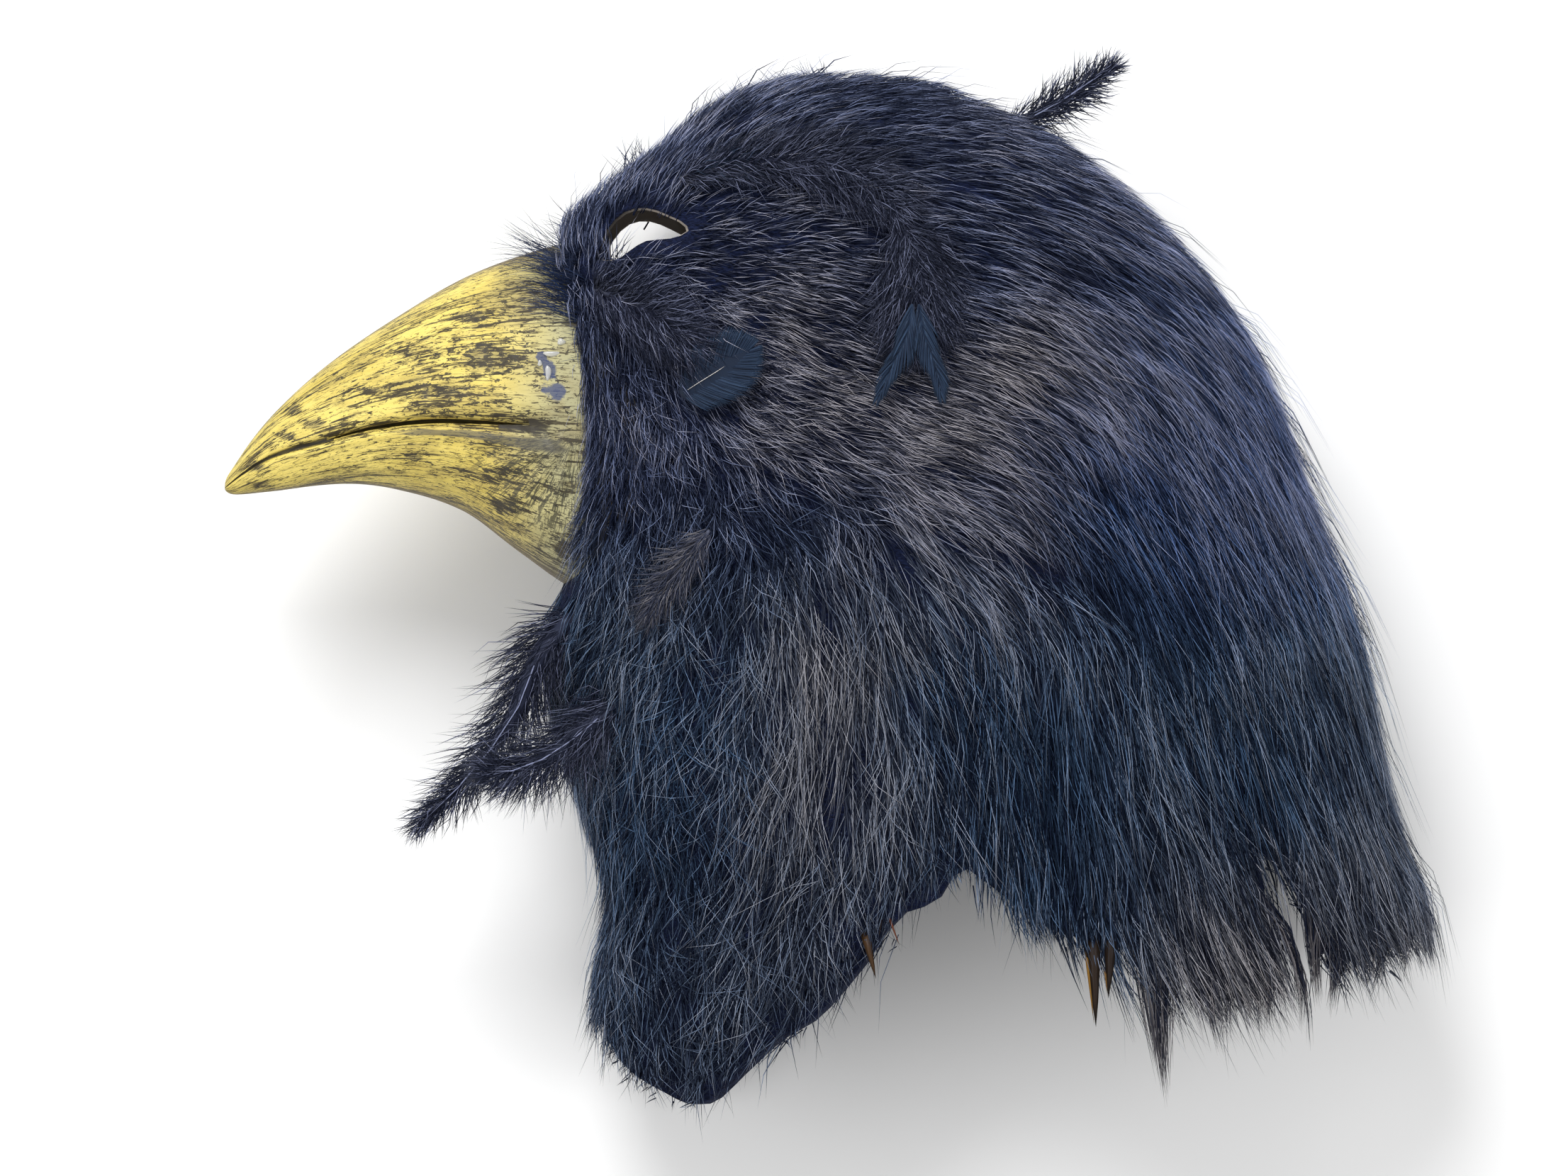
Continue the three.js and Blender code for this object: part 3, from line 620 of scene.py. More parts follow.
# tufts of hair: each has a guide combed over the fur; its hairs start round the guide's root,
# close in on it towards the tip, and rise off the skin by height * (1.9 s - 0.9 s^2)
def growFur(name, tufts, perTuft, window, own):
    s = {**common, **own}
    strides, steps = coat["strides"], s["steps"]
    turn, share = scattered(tufts, window)
    spot, normal = furSurface(turn, share)[:2]
    x, y = spot[:, 0], spot[:, 1]
    length, stand, pale, warm, mess = combAt(x, y)[1]
    length = length * s["length"] * chance.uniform(*hair["tuftLength"], tufts)
    full = length * hair["guide"]
    guide, outward = combedPaths(turn, share, full, chance.normal(0, 1, tufts) * mess)
    length = trimmed(x, y, guide, length, full)

    # over the beak's root the hair lies on the beak
    over = beakHeight(guide[..., 0], guide[..., 1])
    lies = (guide[..., 2] > mask["middleZ"]) & (guide[..., 0] < 175)
    guide[..., 2] = np.where(lies, np.maximum(guide[..., 2], over), guide[..., 2])

    # bands of paler and darker hair along the region's grain
    grain = np.radians(s["grain"])
    band = layeredNoise((x * np.cos(grain) + y * np.sin(grain)) / coat["lock"][0],
                        (y * np.cos(grain) - x * np.sin(grain)) / coat["lock"][1], 5.5, 2)
    shape = (tufts, perTuft)
    level = pale * s["bright"] * np.clip(1 + 0.8 * band, 0.25, 1.7)
    least, most, few = hair["bright"]
    # a few hairs far brighter than the rest: partly paler hairs, partly painted glints, as
    # hairColours turns tones above 1 pale
    bright = level[:, None] * (least + most * chance.random(shape) ** few)
    bright = np.clip(bright, 0, hair["brightest"])

    # each hair's place along its guide
    reach = chance.uniform(*hair["reach"], shape) * (0.94 + 0.1 * bright)
    stray = chance.random(shape) < s["stray"]
    reach = np.where(stray, hair["strayReach"], reach)
    run = np.linspace(0, 1, steps)
    place = np.clip(run * reach[..., None] * (length / full)[:, None, None], 0, 1) * strides
    i = np.minimum(place.astype(int), strides - 1)
    part = (place - i)[..., None]
    n = np.arange(tufts)[:, None, None]
    base = guide[n, i] * (1 - part) + guide[n, i + 1] * part
    out = unit(outward[n, i] * (1 - part) + outward[n, i + 1] * part)
    way = unit(guide[n, i + 1] - guide[n, i])
    side = np.cross(out, way)

    # its way beside the guide, and off the skin
    close = 1 - s["clump"] * run**0.8
    offset = chance.normal(0, 1, (*shape, 2)) * s["spread"]
    curl = chance.normal(0, s["curl"], shape) + chance.normal(0, 1, shape) * mess[:, None] * 0.6
    far = (length[:, None] * reach)[..., None]
    across = offset[..., :1] * close + curl[..., None] * far * run**1.6
    rim = (1 - np.abs(normal[:, 2])) ** 2
    rim = rim * (1 - 0.85 * smoothStep(180, 162, x) * (y < 375))  # less over the beak
    height = (coat["stand"][0] + coat["stand"][1] * stand)[:, None]
    height = height * (hair["height"][0] + hair["height"][1] * chance.random(shape))
    strayHeight = hair["strayHeight"][0] + hair["strayHeight"][1] * rim[:, None]
    height = height * (0.9 + 0.2 * bright) * np.where(stray, strayHeight, 1)
    height = height * (1 - hair["pressed"] * underFeather(x, y))[:, None]
    rise = height[..., None] * (1.9 * run - 0.9 * run**2) - coat["skin"]
    path = base + side * across[..., None] + way * offset[..., 1:, None] + out * rise[..., None]

    width = s["thick"] * (1.2 - 0.3 * bright) * chance.uniform(*hair["width"], shape)
    width = width[..., None] * (1 - hair["taper"] * run**1.6)
    colour = hairColours(x, y, warm, bright, run)
    flat = (tufts * perTuft, steps)
    piece = strandMesh(name, path.reshape(*flat, 3), width.reshape(flat), out.reshape(*flat, 3),
                       colour.reshape(*flat, 3), furMaterial)
    ownPiece(piece, "fur")
    print(name, len(piece.data.polygons))


def makeFurMaterial(name, roughness, sheen):
    m = Maker(name)
    return m.finish({"Base Color": m.attribute("hairColour", "Color"), "Roughness": roughness,
                     "Specular IOR Level": 0.18, "Specular Tint": (0.62, 0.76, 1.0, 1),
                     "Sheen Weight": sheen, "Sheen Tint": (0.62, 0.7, 0.95, 1)})


def makePeltMaterial():
    m = Maker("pelt")
    place = m.objectPlace()
    fine = m.noise(m.scaled(place, (420, 1400, 900)), 1.0, 5.0)
    broad = m.noise(place, 38.0, 3.0)
    colour = m.mix(m.step(fine * 0.7 + broad * 0.3, 0.38, 0.66), linear((9, 14, 34)),
                   linear((27, 36, 66)))
    return m.finish({"Base Color": colour, "Roughness": 0.85, "Specular IOR Level": 0.1,
                     "Normal": m.bump(fine, 0.0015, 0.8)})


furMaterial = makeFurMaterial("hair", 0.42, 0.0)
featherMaterial = makeFurMaterial("barbs", 0.38, 0.04)

# the beak: outlines counted back from the tip, as heights in the mask's plane of symmetry
beak = {
    "end": 163.0,
    "top": curveThrough([[0, 267], [3.6, 275], [9.6, 284], [25, 302], [45, 319.5], [72, 338],
                         [101, 355], [125, 364.5], [145, 370], [186, 376]], True),
    "bottom": curveThrough([[0, 266], [4, 263.5], [20, 264.8], [51, 268], [73, 265.6],
                            [101, 256.5], [125, 239], [145, 225], [186, 205]], True),
    "mouth": curveThrough([[0, 266], [8, 272], [21, 279.5], [44, 286], [64, 291], [91, 293.6],
                           [131, 291.7], [186, 290]]),
    "half": curveThrough([[0, 0], [3, 4.6], [10, 8], [25, 12], [50, 18], [75, 24.5], [100, 31],
                          [125, 37.5], [145, 43], [186, 55]], True),
    "rows": 230, "columns": 128, "insideRows": 50,
    "rootEnd": 186,  # how far back the plain form of the beak's root goes
    "crowding": 1.35,  # how much closer rows lie to each other at the tip
    "slit": {"from": 44.0, "to": 130.0, "height": 1.9, "slant": 0.018},
    "corner": (150.0, 289.0),
    # grooves, and with a depth below 0 the rolled lips: angle from the ridge, its sway, the
    # sway's length and start, width, depth, where it fades in, and if it ends with the mouth
    "carving": [
        (0.62, 0.03, 17, 0, 0.09, 1.3, None, False),
        (0.82, 0.02, 11, 1, 0.05, 0.6, (20, 90), False),
        (1.02, 0.03, 23, 2, 0.06, 0.5, (50, 110), False),
        (np.pi / 2, 0, 1, 0, 0.045, 2.6, None, True),
        (np.pi / 2 - 0.13, 0, 1, 0, 0.06, -0.9, (15, 50), True),
        (np.pi / 2 + 0.16, 0, 1, 0, 0.07, -1.1, (15, 50), True),
        (2.05, 0.02, 15, 0, 0.07, 0.6, (20, 90), False),
    ],
    # dark smudges of paint and spots of ink: x, y, half length and half height
    "smudges": [(114, 320, 17, 8), (14, 275, 5, 2.6), (39, 293, 7, 3), (30, 299, 4, 2.6),
                (27, 288, 4, 2), (120, 259, 9, 4), (118, 273, 7, 2), (16, 267.6, 5, 1.6),
                (81, 279, 5, 1.8), (145, 240, 5, 7), (62, 307, 7, 2.2), (76, 323, 7, 1.8),
                (96, 306, 9, 3), (130, 297, 7, 1.6), (105, 338, 10, 3)],
    "ink": [(138.5, 315.5, 3.4, 3), (142, 306, 4, 3.6), (135, 321, 2.4, 2.2),
            (136, 308, 2.2, 1.8), (129, 301, 2, 1.4)],
    # the paint's map: its width round the beak is the root of the half width, but at least the
    # least one, times girth; then the width of the creases' fan and where the far side starts
    "wrap": {"girth": 136.4, "least": 4, "fan": 0.03, "farSide": 3.0},
}


# how much is cut away: the grooves as bell curves round their angles, creases that spread from
# the mouth's corner, and shallow dents
def beakCarving(x, y, turn, side):
    carve = 0
    for angle, sway, length, start, width, depth, fade, atMouth in beak["carving"]:
        groove = depth * bell(side, angle + sway * np.sin(x / length + start), width)
        if fade:
            groove = groove * smoothStep(*fade, x)
        if atMouth:
            groove = groove * smoothStep(152, 136, x)
        carve = carve + groove
    fan, away = cornerFan(x, y)
    share = 0.8 * smoothStep(3, 12, away) * smoothStep(58, 26, away) * smoothStep(-0.2, -0.7, fan)
    creases = np.sin(fan * 17 + 2 * noiseAt(fan * 3, away / 12)) * (share * (side > 1.5))
    dents = layeredNoise(x / 9, turn * 5, 0.3) * 0.35 + noiseAt(x / 3.5, turn * 14, 4.1) * 0.16
    return carve + creases + dents


# angle and distance from the mouth's corner
def cornerFan(x, y):
    dx, dy = x - beak["corner"][0], y - beak["corner"][1]
    return np.arctan2(dy, dx), np.hypot(dx, dy)


# a beak section: from the ridge round the side to the chin, cosine times the reach above or
# below the mouth line and sine times the half width, less the carving
def beakPoint(x, turn, inset=0.0, carved=True):
    mouth, along, across = beak["mouth"](x), np.cos(turn), np.sin(turn)
    reach = np.where(along > 0, beak["top"](x) - mouth, mouth - beak["bottom"](x))
    side = np.arccos(np.clip(along, -1, 1))
    half = beak["half"](x) - inset
    y = mouth + np.maximum(reach - inset, 0.2) * along
    if carved:
        half = half - beakCarving(x, y, turn, side) * np.minimum(beak["half"](x) / 12, 1)
    return np.stack([x + 0 * turn, y,
                     mask["middleZ"] + np.maximum(half, 0.2) * power(across, 0.92)], -1)


# the near side's height over x and y
def beakHeight(x, y):
    mouth = beak["mouth"](x)
    reach = np.where(y > mouth, beak["top"](x) - mouth, mouth - beak["bottom"](x))
    rise = np.sqrt(np.clip(1 - ((y - mouth) / reach) ** 2, 0, 1)) ** 0.92
    return mask["middleZ"] + beak["half"](x) * rise


# rings along the beak, from the tip or where the inset still leaves a hollow, to its end
def beakGrid(rows, columns, inset, carved, end=beak["end"]):
    share = np.linspace(0, 1, rows)[:, None]
    start = max(inset * 3.2, 0)
    x = start + (end - start) * share ** beak["crowding"]
    x, turn = np.broadcast_arrays(x, turnsOf(columns))
    return beakPoint(x, turn, inset, carved), x, turn


# the plain form of the beak back into the head, to cut with
def beakPlug(name, inset):
    return plainBlock(name, beakGrid(40, 48, inset, False, beak["rootEnd"])[0])


# an outside and an inside surface, joined by an edge at their last rings
def tubeWithWall(name, outside, inside, material):
    rows, columns = outside.shape[:2]
    outer = gridFaces(rows, columns)
    inner = gridFaces(len(inside), columns)[:, ::-1] + rows * columns
    c = np.arange(columns)
    nextC = (c + 1) % columns
    lastOut, lastIn = (rows - 1) * columns, (rows + len(inside) - 1) * columns
    rim = np.stack([lastOut + c, lastOut + nextC, lastIn + nextC, lastIn + c], -1)
    tips = [c[None, ::-1], rows * columns + c[None, :]]
    piece = putMesh(name, np.concatenate([outside.reshape(-1, 3), inside.reshape(-1, 3)]),
                    [outer, inner, rim, *tips], material)
    turnedOut(piece)
    return piece


# closes a form's first ring to a fiftieth of its size
def drawnIn(rings):
    rings[0] = rings[0].mean(0) * 0.98 + rings[0] * 0.02
    return rings


# paint on the beak: black dry-brushed over yellow in strokes along it, darker in the grooves, thin
# and greenish at the root, brown on the lower edge; painted shade along the mouth's line and where
# the fur covers the root
def makeBeakMaterial():
    m = Maker("beakLatex")
    wrap = m.node("ShaderNodeUVMap", {"uv_map": "beakWrap"})
    fan = m.node("ShaderNodeUVMap", {"uv_map": "cornerFan"})
    place = m.objectPlace()
    along = m.node("ShaderNodeSeparateXYZ", None, {"Vector": wrap})

    # noise with so many waves to a metre along the beak and round it
    def strokesOf(lengthwise, around, detail, roughness, distortion, slant=0.0, over=wrap):
        return m.noise(m.scaled(over, (lengthwise, around, 1), (0, 0, slant)), 1.0, detail,
                       roughness, distortion)

    fine = strokesOf(80, 1000, 4.0, 0.6, 0.6)
    strokes = strokesOf(45, 400, 5.0, 0.62, 0.9)
    marks = strokesOf(185, 470, 6.0, 0.64, 1.0)
    streaks = strokesOf(170, 680, 5.0, 0.62, 1.4, 0.2)
    specks = strokesOf(380, 640, 3.0, 0.6, 0.5)
    blotches = strokesOf(30, 60, 4.0, 0.6, 0.8)
    creases = strokesOf(130, 760, 6.0, 0.64, 1.6, 0.0, fan)
    broad = m.noise(place, 24.0, 4.0)
    edge, groove, corner, ridge, smudge, under, lip, ink, furColourAndShade, inner = [
        m.attribute(name) for name in ("lowEdge", "groove", "corner", "ridge", "smudge", "under",
                                       "lip", "ink", "furColourAndShade", "inner")]

    root = m.step(along + broad * 0.03, 0.125, 0.162)
    colour = m.mix(m.step(broad, 0.32, 0.68), linear((220, 199, 104)), linear((198, 176, 84)))
    colour = m.mix(m.step(strokes, 0.42, 0.7) * 0.5, colour, linear((230, 213, 130)))
    colour = m.mix(root * 0.8, colour, linear((146, 148, 124)))
    # where the dark marks gather: wear, and a little of the painted shade along the mouth's line
    wearAndShade = m.step(blotches * 0.5 + strokes * 0.35 + smudge * 0.16 + groove * 0.1 + edge * 0.08
                  + ridge * 0.09, 0.38, 0.56)
    layers = [  # from the lowest: where it lies, from what level and to what, strength, colour
        (blotches * 0.75 + broad * 0.25, 0.47, 0.6, 0.4, (134, 118, 72)),
        (smudge + marks * 0.8, 0.75, 1.25, 0.6, (104, 96, 74)),
        (fine * 0.8 + strokes * 0.2 + wearAndShade * 0.06, 0.575, 0.6, wearAndShade * 0.6 + 0.35, (62, 50, 26)),
        (streaks + wearAndShade * 0.06 + under * 0.016, 0.605, 0.62, 0.9, (50, 40, 22)),
        (marks + wearAndShade * 0.075 + smudge * 0.05 + under * 0.018 + corner * 0.014, 0.615, 0.63,
         0.92, (42, 38, 30)),
        (strokes * 0.75 + fine * 0.25 + wearAndShade * 0.06, 0.59, 0.615, 0.85, (54, 46, 28)),
        (specks + wearAndShade * 0.06, 0.645, 0.665, 0.85, (50, 42, 24)),
        (creases + corner * 0.06, 0.57, 0.59, corner * 0.85, (54, 52, 42)),
        (lip + strokes * 0.8, 0.8, 1.05, 0.75, (70, 68, 62)),
        # darkest in the grooves, and painted shade along the mouth's line
        (groove + fine * 0.6, 0.7, 1.05, 0.92, (38, 32, 20)),
        (edge + strokes * 0.6, 0.95, 1.3, 0.7, (80, 66, 38)),
        (ridge + fine * 0.7, 1.1, 1.3, 0.6, (86, 70, 36)),
        (ink + specks * 0.5, 0.55, 0.75, 0.85, (44, 58, 98)),
    ]
    for level, low, high, strength, shade in layers:
        colour = m.mix(m.step(level, low, high) * strength, colour, linear(shade))
    # painted dark navy where the fur's edge lies over the beak's root: the fur's own colour and
    # painted shade under its hair
    colour = m.mix(furColourAndShade, colour, linear((14, 16, 28)))
    colour = m.mix(inner, colour, linear((196, 184, 160)))
    bumps = strokes * 0.35 + fine * 0.25 + marks * 0.25 + m.noise(place, 500.0, 3.0) * 0.15
    return m.finish({"Base Color": colour, "Roughness": m.step(strokes, 0.2, 0.8) * 0.2 + 0.38,
                     "Specular IOR Level": 0.32, "Coat Weight": 0.05, "Coat Roughness": 0.35,
                     "Normal": m.bump(bumps, 0.0009, 0.7)})


def makeBeak():
    outside, x, turn = beakGrid(beak["rows"], beak["columns"], 0.0, True)
    inside = beakGrid(beak["insideRows"], beak["columns"], mask["latexWall"], True)[0]
    piece = tubeWithWall("beak", drawnIn(outside), drawnIn(inside), makeBeakMaterial())
    y, side = outside[..., 1], np.arccos(np.clip(np.cos(turn), -1, 1))
    near = np.sin(turn) > 0
    fan, away = cornerFan(x, y)

    def sumOfSpots(spots):
        return sum(bell(x, sx, rx) * bell(y, sy, ry) for sx, sy, rx, ry in spots) * near

    scores = np.maximum(bell(side, 0.62 + 0.03 * np.sin(x / 17), 0.06) * 0.6,
                        np.maximum(bell(side, 0.82, 0.04), bell(side, 1.02, 0.05)) * 0.45)
    lipEnds = smoothStep(50, 90, x) * smoothStep(152, 140, x)
    marks = {
        "lowEdge": smoothStep(2.45, 3.0, side),
        "ridge": smoothStep(0.5, 0.1, side),
        "under": smoothStep(1.65, 1.8, side),
        # the mouth's line carries painted shade; the scores on the upper beak are darker lines in
        # their grooves
        "groove": np.maximum(bell(side, np.pi / 2, 0.07) * smoothStep(146, 132, x), scores),
        "lip": bell(side, np.pi / 2 + 0.13, 0.05) * lipEnds,
        "corner": smoothStep(64, 30, away) * smoothStep(-0.1, -0.6, fan) * (side > 1.5),
        "smudge": np.clip(sumOfSpots(beak["smudges"]), 0, 1),
        "ink": sumOfSpots(beak["ink"]),
        # the fur's colour and painted shade under the fur's edge over the root
        "furColourAndShade": smoothStep(1.5, 4.5, x - beakEdge(y)) * (y < beakRoot["high"]),
        "inner": 0 * x,
    }
    count = inside.shape[0] * inside.shape[1]
    for name, values in marks.items():
        rest = np.full(count, float(name == "inner"))
        putNumbers(piece, name, np.concatenate([np.ravel(values), rest]))
    # unrolled: u is the way along the beak in metres and v the way round it, narrower at the tip
    wrap = beak["wrap"]
    girth = np.sqrt(np.maximum(beak["half"](x), wrap["least"]) * wrap["girth"])
    apart = np.where(near, 0.0, wrap["farSide"])
    putWrap(piece, "beakWrap", x / 1000, (side - np.pi / 2) * girth / 1000 + apart, count)
    putWrap(piece, "cornerFan", away / 1000, fan * wrap["fan"] + apart, count)
    return piece


# two values for each point of the outside as a UV map, and none for the inside
def putWrap(piece, name, u, v, rest):
    flat = np.concatenate([np.stack([u.ravel(), v.ravel()], -1), np.zeros((rest, 2))])
    layer = piece.data.uv_layers.new(name=name)
    corner = np.zeros(len(piece.data.loops), np.int32)
    piece.data.loops.foreach_get("vertex_index", corner)
    layer.data.foreach_set("uv", flat[corner].astype(np.float32).ravel())


# the slit between the lips: a blade pointed at both ends, its far side a little higher
def mouthBlade():
    slit = beak["slit"]
    share = np.linspace(0, 1, 40)
    x = slit["from"] + (slit["to"] - slit["from"]) * share
    rise = np.maximum(np.sin(share * np.pi) ** 0.6, 0.05) * slit["height"] / 2
    width = beak["half"](slit["to"]) + 10
    rings = np.stack([np.stack([x, beak["mouth"](x) + a * rise + b * width * slit["slant"],
                                mask["middleZ"] + b * width + 0 * x], -1)
                      for a, b in ((-1, -1), (1, -1), (1, 1), (-1, 1))], 1)
    return plainBlock("blade", rings)


# rings down the head's form to the neck, closer at the top
def headRings(grow, rows, columns):
    bottom = mask["latexTopY"] - mask["neckY"]
    share = np.linspace(0, 1, rows)[1:, None]
    return drawnIn(sectionPoint(headForm, bottom * share**1.6, turnsOf(columns), -grow))


def makeLatexMaterial():
    m = Maker("plainLatex")
    place = m.objectPlace()
    cloud = m.noise(place, 18.0, 4.0)
    fine = m.noise(place, 700.0, 3.0)
    # the latex's own cream, darkened with painted shade for the inside of the mask where it is
    # seen
    colour = m.mix(m.step(cloud, 0.3, 0.7), linear((172, 162, 152)), linear((150, 141, 132)))
    return m.finish({"Base Color": colour, "Roughness": 0.5, "Specular IOR Level": 0.4,
                     "Normal": m.bump(fine * 0.4 + cloud * 0.6, 0.0006, 0.5)})


def makeCasting():
    beakPiece, blade = makeBeak(), mouthBlade()
    cutWith(beakPiece, blade)
    ownPiece(beakPiece, "latex", "latex_beak")
    print("beak ready", len(beakPiece.data.polygons))

    shell = tubeWithWall("head_shell", headRings(0, 44, 80),
                         headRings(-mask["latexWall"], 44, 80), makeLatexMaterial())
    hollow, eyeHole = beakPlug("hollow", 1.2), eyeCutter(0)
    cutWith(shell, eyeHole, hollow)
    ownPiece(shell, "latex", "latex_head")
    discard(blade, hollow, eyeHole)
    print("head ready", len(shell.data.polygons))


# the pelt under the hair: the fur's form drawn in by a little, thicker where it hangs free
pelt = {"rows": 64, "columns": 140, "inset": 3.0, "wall": 1.6, "hemWall": 6.4}


def makePelt():
    share = np.linspace(0, 1, pelt["rows"])[1:, None]
    turn = turnsOf(pelt["columns"])
    wall = pelt["wall"] + (pelt["hemWall"] - pelt["wall"]) * smoothStep(0.6, 0.8, share)
    outside = furSurface(turn, share, pelt["inset"])[0]
    inside = furSurface(turn, share, pelt["inset"] + wall)[0]
    piece = tubeWithWall("fur_pelt", drawnIn(outside), drawnIn(inside), makePeltMaterial())
    right, left = coat["gapRight"][:-1, ::-1], coat["gapLeft"][::-1, ::-1]
    gap = blockThrough("gap", np.concatenate([[[463, 20]], right, left, [[449, 20]]]))
    eyeHole, plug = eyeCutter(0.6), beakPlug("beakRoot", -0.2)
    cutWith(piece, eyeHole, plug, gap)
    discard(eyeHole, plug, gap)
    ownPiece(piece, "fur", "fur_left", "fur_right")
    print("pelt ready", len(piece.data.polygons))


makeCasting()
makePelt()


def barbs(kind, count, length, angle, dye="navy", **more):
    return {"kind": kind, "count": count, "length": length, "angle": angle, "dye": dye, **more}


# feathers: each has its line over the fur as x, y and a height over it (or over the mask's plane
# of symmetry where it stands upright), the half widths and half thicknesses of its dense core,
# and rows of barbs with their count, lengths and angles; a quill has its span, width and dye
feathers = {
    "brow_strip": {
        "node": "brow_plume", "lift": 2.0, "core": ([1, 3, 4, 4, 2], [0.5, 0.9, 1, 0.9, 0.5]),
        "line": [[193, 394], [216, 399], [242, 401], [266, 394], [284, 381]],
        "rows": [barbs("down", 2100, [12, 19, 22, 20, 17], [35, 42, 45, 40, 30]),
                 barbs("down", 130, [12, 16, 4, 3, 3], [30, 40, 40, 40, 40], "tealVane",
                       span=(0.05, 0.3))],
    },
    "ear_vane": {
        "node": "ear_plume", "lift": 2.4, "core": ([2, 5, 5, 4, 2], [0.5, 1, 1, 0.8, 0.5]),
        "line": [[286, 374], [291, 360], [291.5, 347], [291, 335], [289.5, 326]],
        "rows": [barbs("down", 2000, [18, 22, 22, 20, 16], [42, 36, 30, 26, 22])],
    },
    "muzzle_down": {
        "node": "cheek_plume", "lift": 1.6, "core": ([1, 3, 3, 1], [0.5, 0.9, 0.9, 0.5]),
        "line": [[157, 349], [171, 343], [185, 336], [198, 326]],
        "rows": [barbs("down", 1500, [16, 22, 24, 20], [60, 48, 36, 30])],
    },
    "cheek_vane": {
        "node": "cheek_feather", "lift": 3.2, "core": ([2, 8, 10.5, 8.5, 2], [0.4] * 5),
        "line": [[194, 304], [201, 308.5], [208.5, 313], [215.5, 317.5], [222.5, 322]],
        "rows": [barbs("vane", 330, [13, 17, 17, 12, 5], [66, 58, 48, 36, 14], "tealVane")],
        "quill": (0.12, 0.66, 0.35, "paleQuill"),
    },
    "jaw_down": {
        "node": "jaw_plume", "lift": 1.8, "core": ([0.8, 1.6, 1.6, 0.8], [0.5, 0.8, 0.8, 0.5]),
        "line": [[206, 248], [198, 238], [190, 227], [181, 215]],
        "rows": [barbs("down", 620, [14, 18, 18, 14], [24, 22, 20, 18], "beige")],
    },
    "crown_quill": {
        "node": "crown_feather", "upright": True,
        "core": ([1.2, 2, 2.2, 1.4, 0.6], [1, 1.5, 1.5, 1, 0.5]),
        "line": [[324, 414, 6], [340, 422, 7], [353, 429, 8], [365, 437, 9], [375.5, 444, 10]],
        "rows": [barbs("down", 620, [12, 13, 14, 13, 9], [22, 22, 26, 28, 24]),
                 barbs("down", 90, [12, 16, 18, 14, 8], [50, 62, 60, 50, 30], sides=(-1,),
                       span=(0.1, 0.75))],
        "quill": (0.0, 1.0, 0.8, "navy"),
    },
    "throat_upper": {
        "node": "throat_feather_upper", "upright": True,
        "core": ([3, 4, 3.6, 2, 0.8], [1.6, 2.2, 2, 1.2, 0.6]),
        "line": [[148, 212, 26], [134, 196, 24], [124, 172, 20], [106, 147, 16], [83, 124, 12]],
        "rows": [barbs("down", 1250, [20, 24, 24, 20, 12], [26, 26, 24, 22, 20])],
        "quill": (0.3, 1.0, 0.8, "navy"),
    },
    "throat_lower": {
        "node": "throat_feather_lower", "upright": True,
        "core": ([2.4, 3.6, 3.6, 2, 0.8], [1, 1.7, 1.7, 1.2, 0.6]),
        "line": [[171, 179, 37], [156, 167, 38], [142, 156, 36], [126, 148, 33], [112, 147, 31]],
        "rows": [barbs("down", 900, [18, 22, 24, 20, 12], [24, 26, 26, 22, 20]),
                 barbs("down", 120, [20, 28, 26, 20, 10], [60, 70, 66, 60, 40], sides=(1,),
                       span=(0.2, 0.9))],
        "quill": (0.2, 1.0, 0.8, "navy"),
    },
}
# the ear feather's forked end: two narrow vanes, higher over the fur than its down
prongs = {
    "lift": 6.2,
    "lines": [[[289.5, 341], [287, 328], [281.5, 316], [276, 303.5]],
              [[292, 341], [294.5, 328], [298.5, 316], [301, 304.5]]],
    "row": barbs("vane", 130, [13, 13, 10, 5], [24, 20, 17, 10], "tealVane"),
}
dyes = {  # dark and pale end of each dye
    "navy": (linear((9, 12, 31)), linear((132, 138, 168))),
    "tealVane": (linear((10, 19, 36)), linear((50, 68, 93))),
    "beige": (linear((52, 56, 74)), linear((150, 146, 148))),
    "paleQuill": (linear((170, 165, 160)), linear((215, 210, 205))),
}
# how the barbs of down and of a vane lie: start is where they leave the line, in half widths of
# the core, and mess how much their angles differ
kinds = {
    "down": {"thick": 0.46, "flat": 0.6, "rise": 4.5, "bend": 0.1, "wave": 0.12, "mess": 0.3,
             "steps": 3, "jitter": 0.3, "start": (-1.3, 2.2)},
    "vane": {"thick": 1.15, "flat": 0.16, "rise": 0.9, "bend": 0.22, "wave": 0.0, "mess": 0.03,
             "steps": 5, "jitter": 0.05, "start": (0.0, 0.0)},
}


# a feather's line in space for shares 0 to 1 of its length, and its direction
def featherLine(feather, share):
    line = np.array([(*p, 0)[:3] for p in feather["line"]], float)
    at = np.arange(len(line)) / (len(line) - 1)
    x, y, lift = [curveThrough(np.column_stack([at, line[:, k]]))(share) for k in range(3)]
    if feather.get("upright"):
        return np.stack([x, y, mask["middleZ"] + lift], -1)
    return np.stack([x, y, furHeight(x, y) + feather["lift"] + lift], -1)


# a feather's line with the directions along it, across it and out of the surface that it is on
def frameAlong(feather, share):
    middle = featherLine(feather, share)
    way = unit(featherLine(feather, share + 0.01) - featherLine(feather, share - 0.01))
    if feather.get("upright"):
        out = np.broadcast_to([0.0, 0.0, 1.0], way.shape)
    else:
        x, y = middle[..., 0], middle[..., 1]
        slopeX = (furHeight(x + 1, y) - furHeight(x - 1, y)) / 2
        slopeY = (furHeight(x, y + 1) - furHeight(x, y - 1)) / 2
        out = unit(np.stack([-slopeX, -slopeY, 1 + 0 * x], -1))
    across = unit(np.cross(out, way))
    return middle, way, across, unit(np.cross(way, across))


# a curve through values that are spread evenly from 0 to 1
def evenCurve(values):
    return curveThrough([[i / (len(values) - 1), v] for i, v in enumerate(values)])


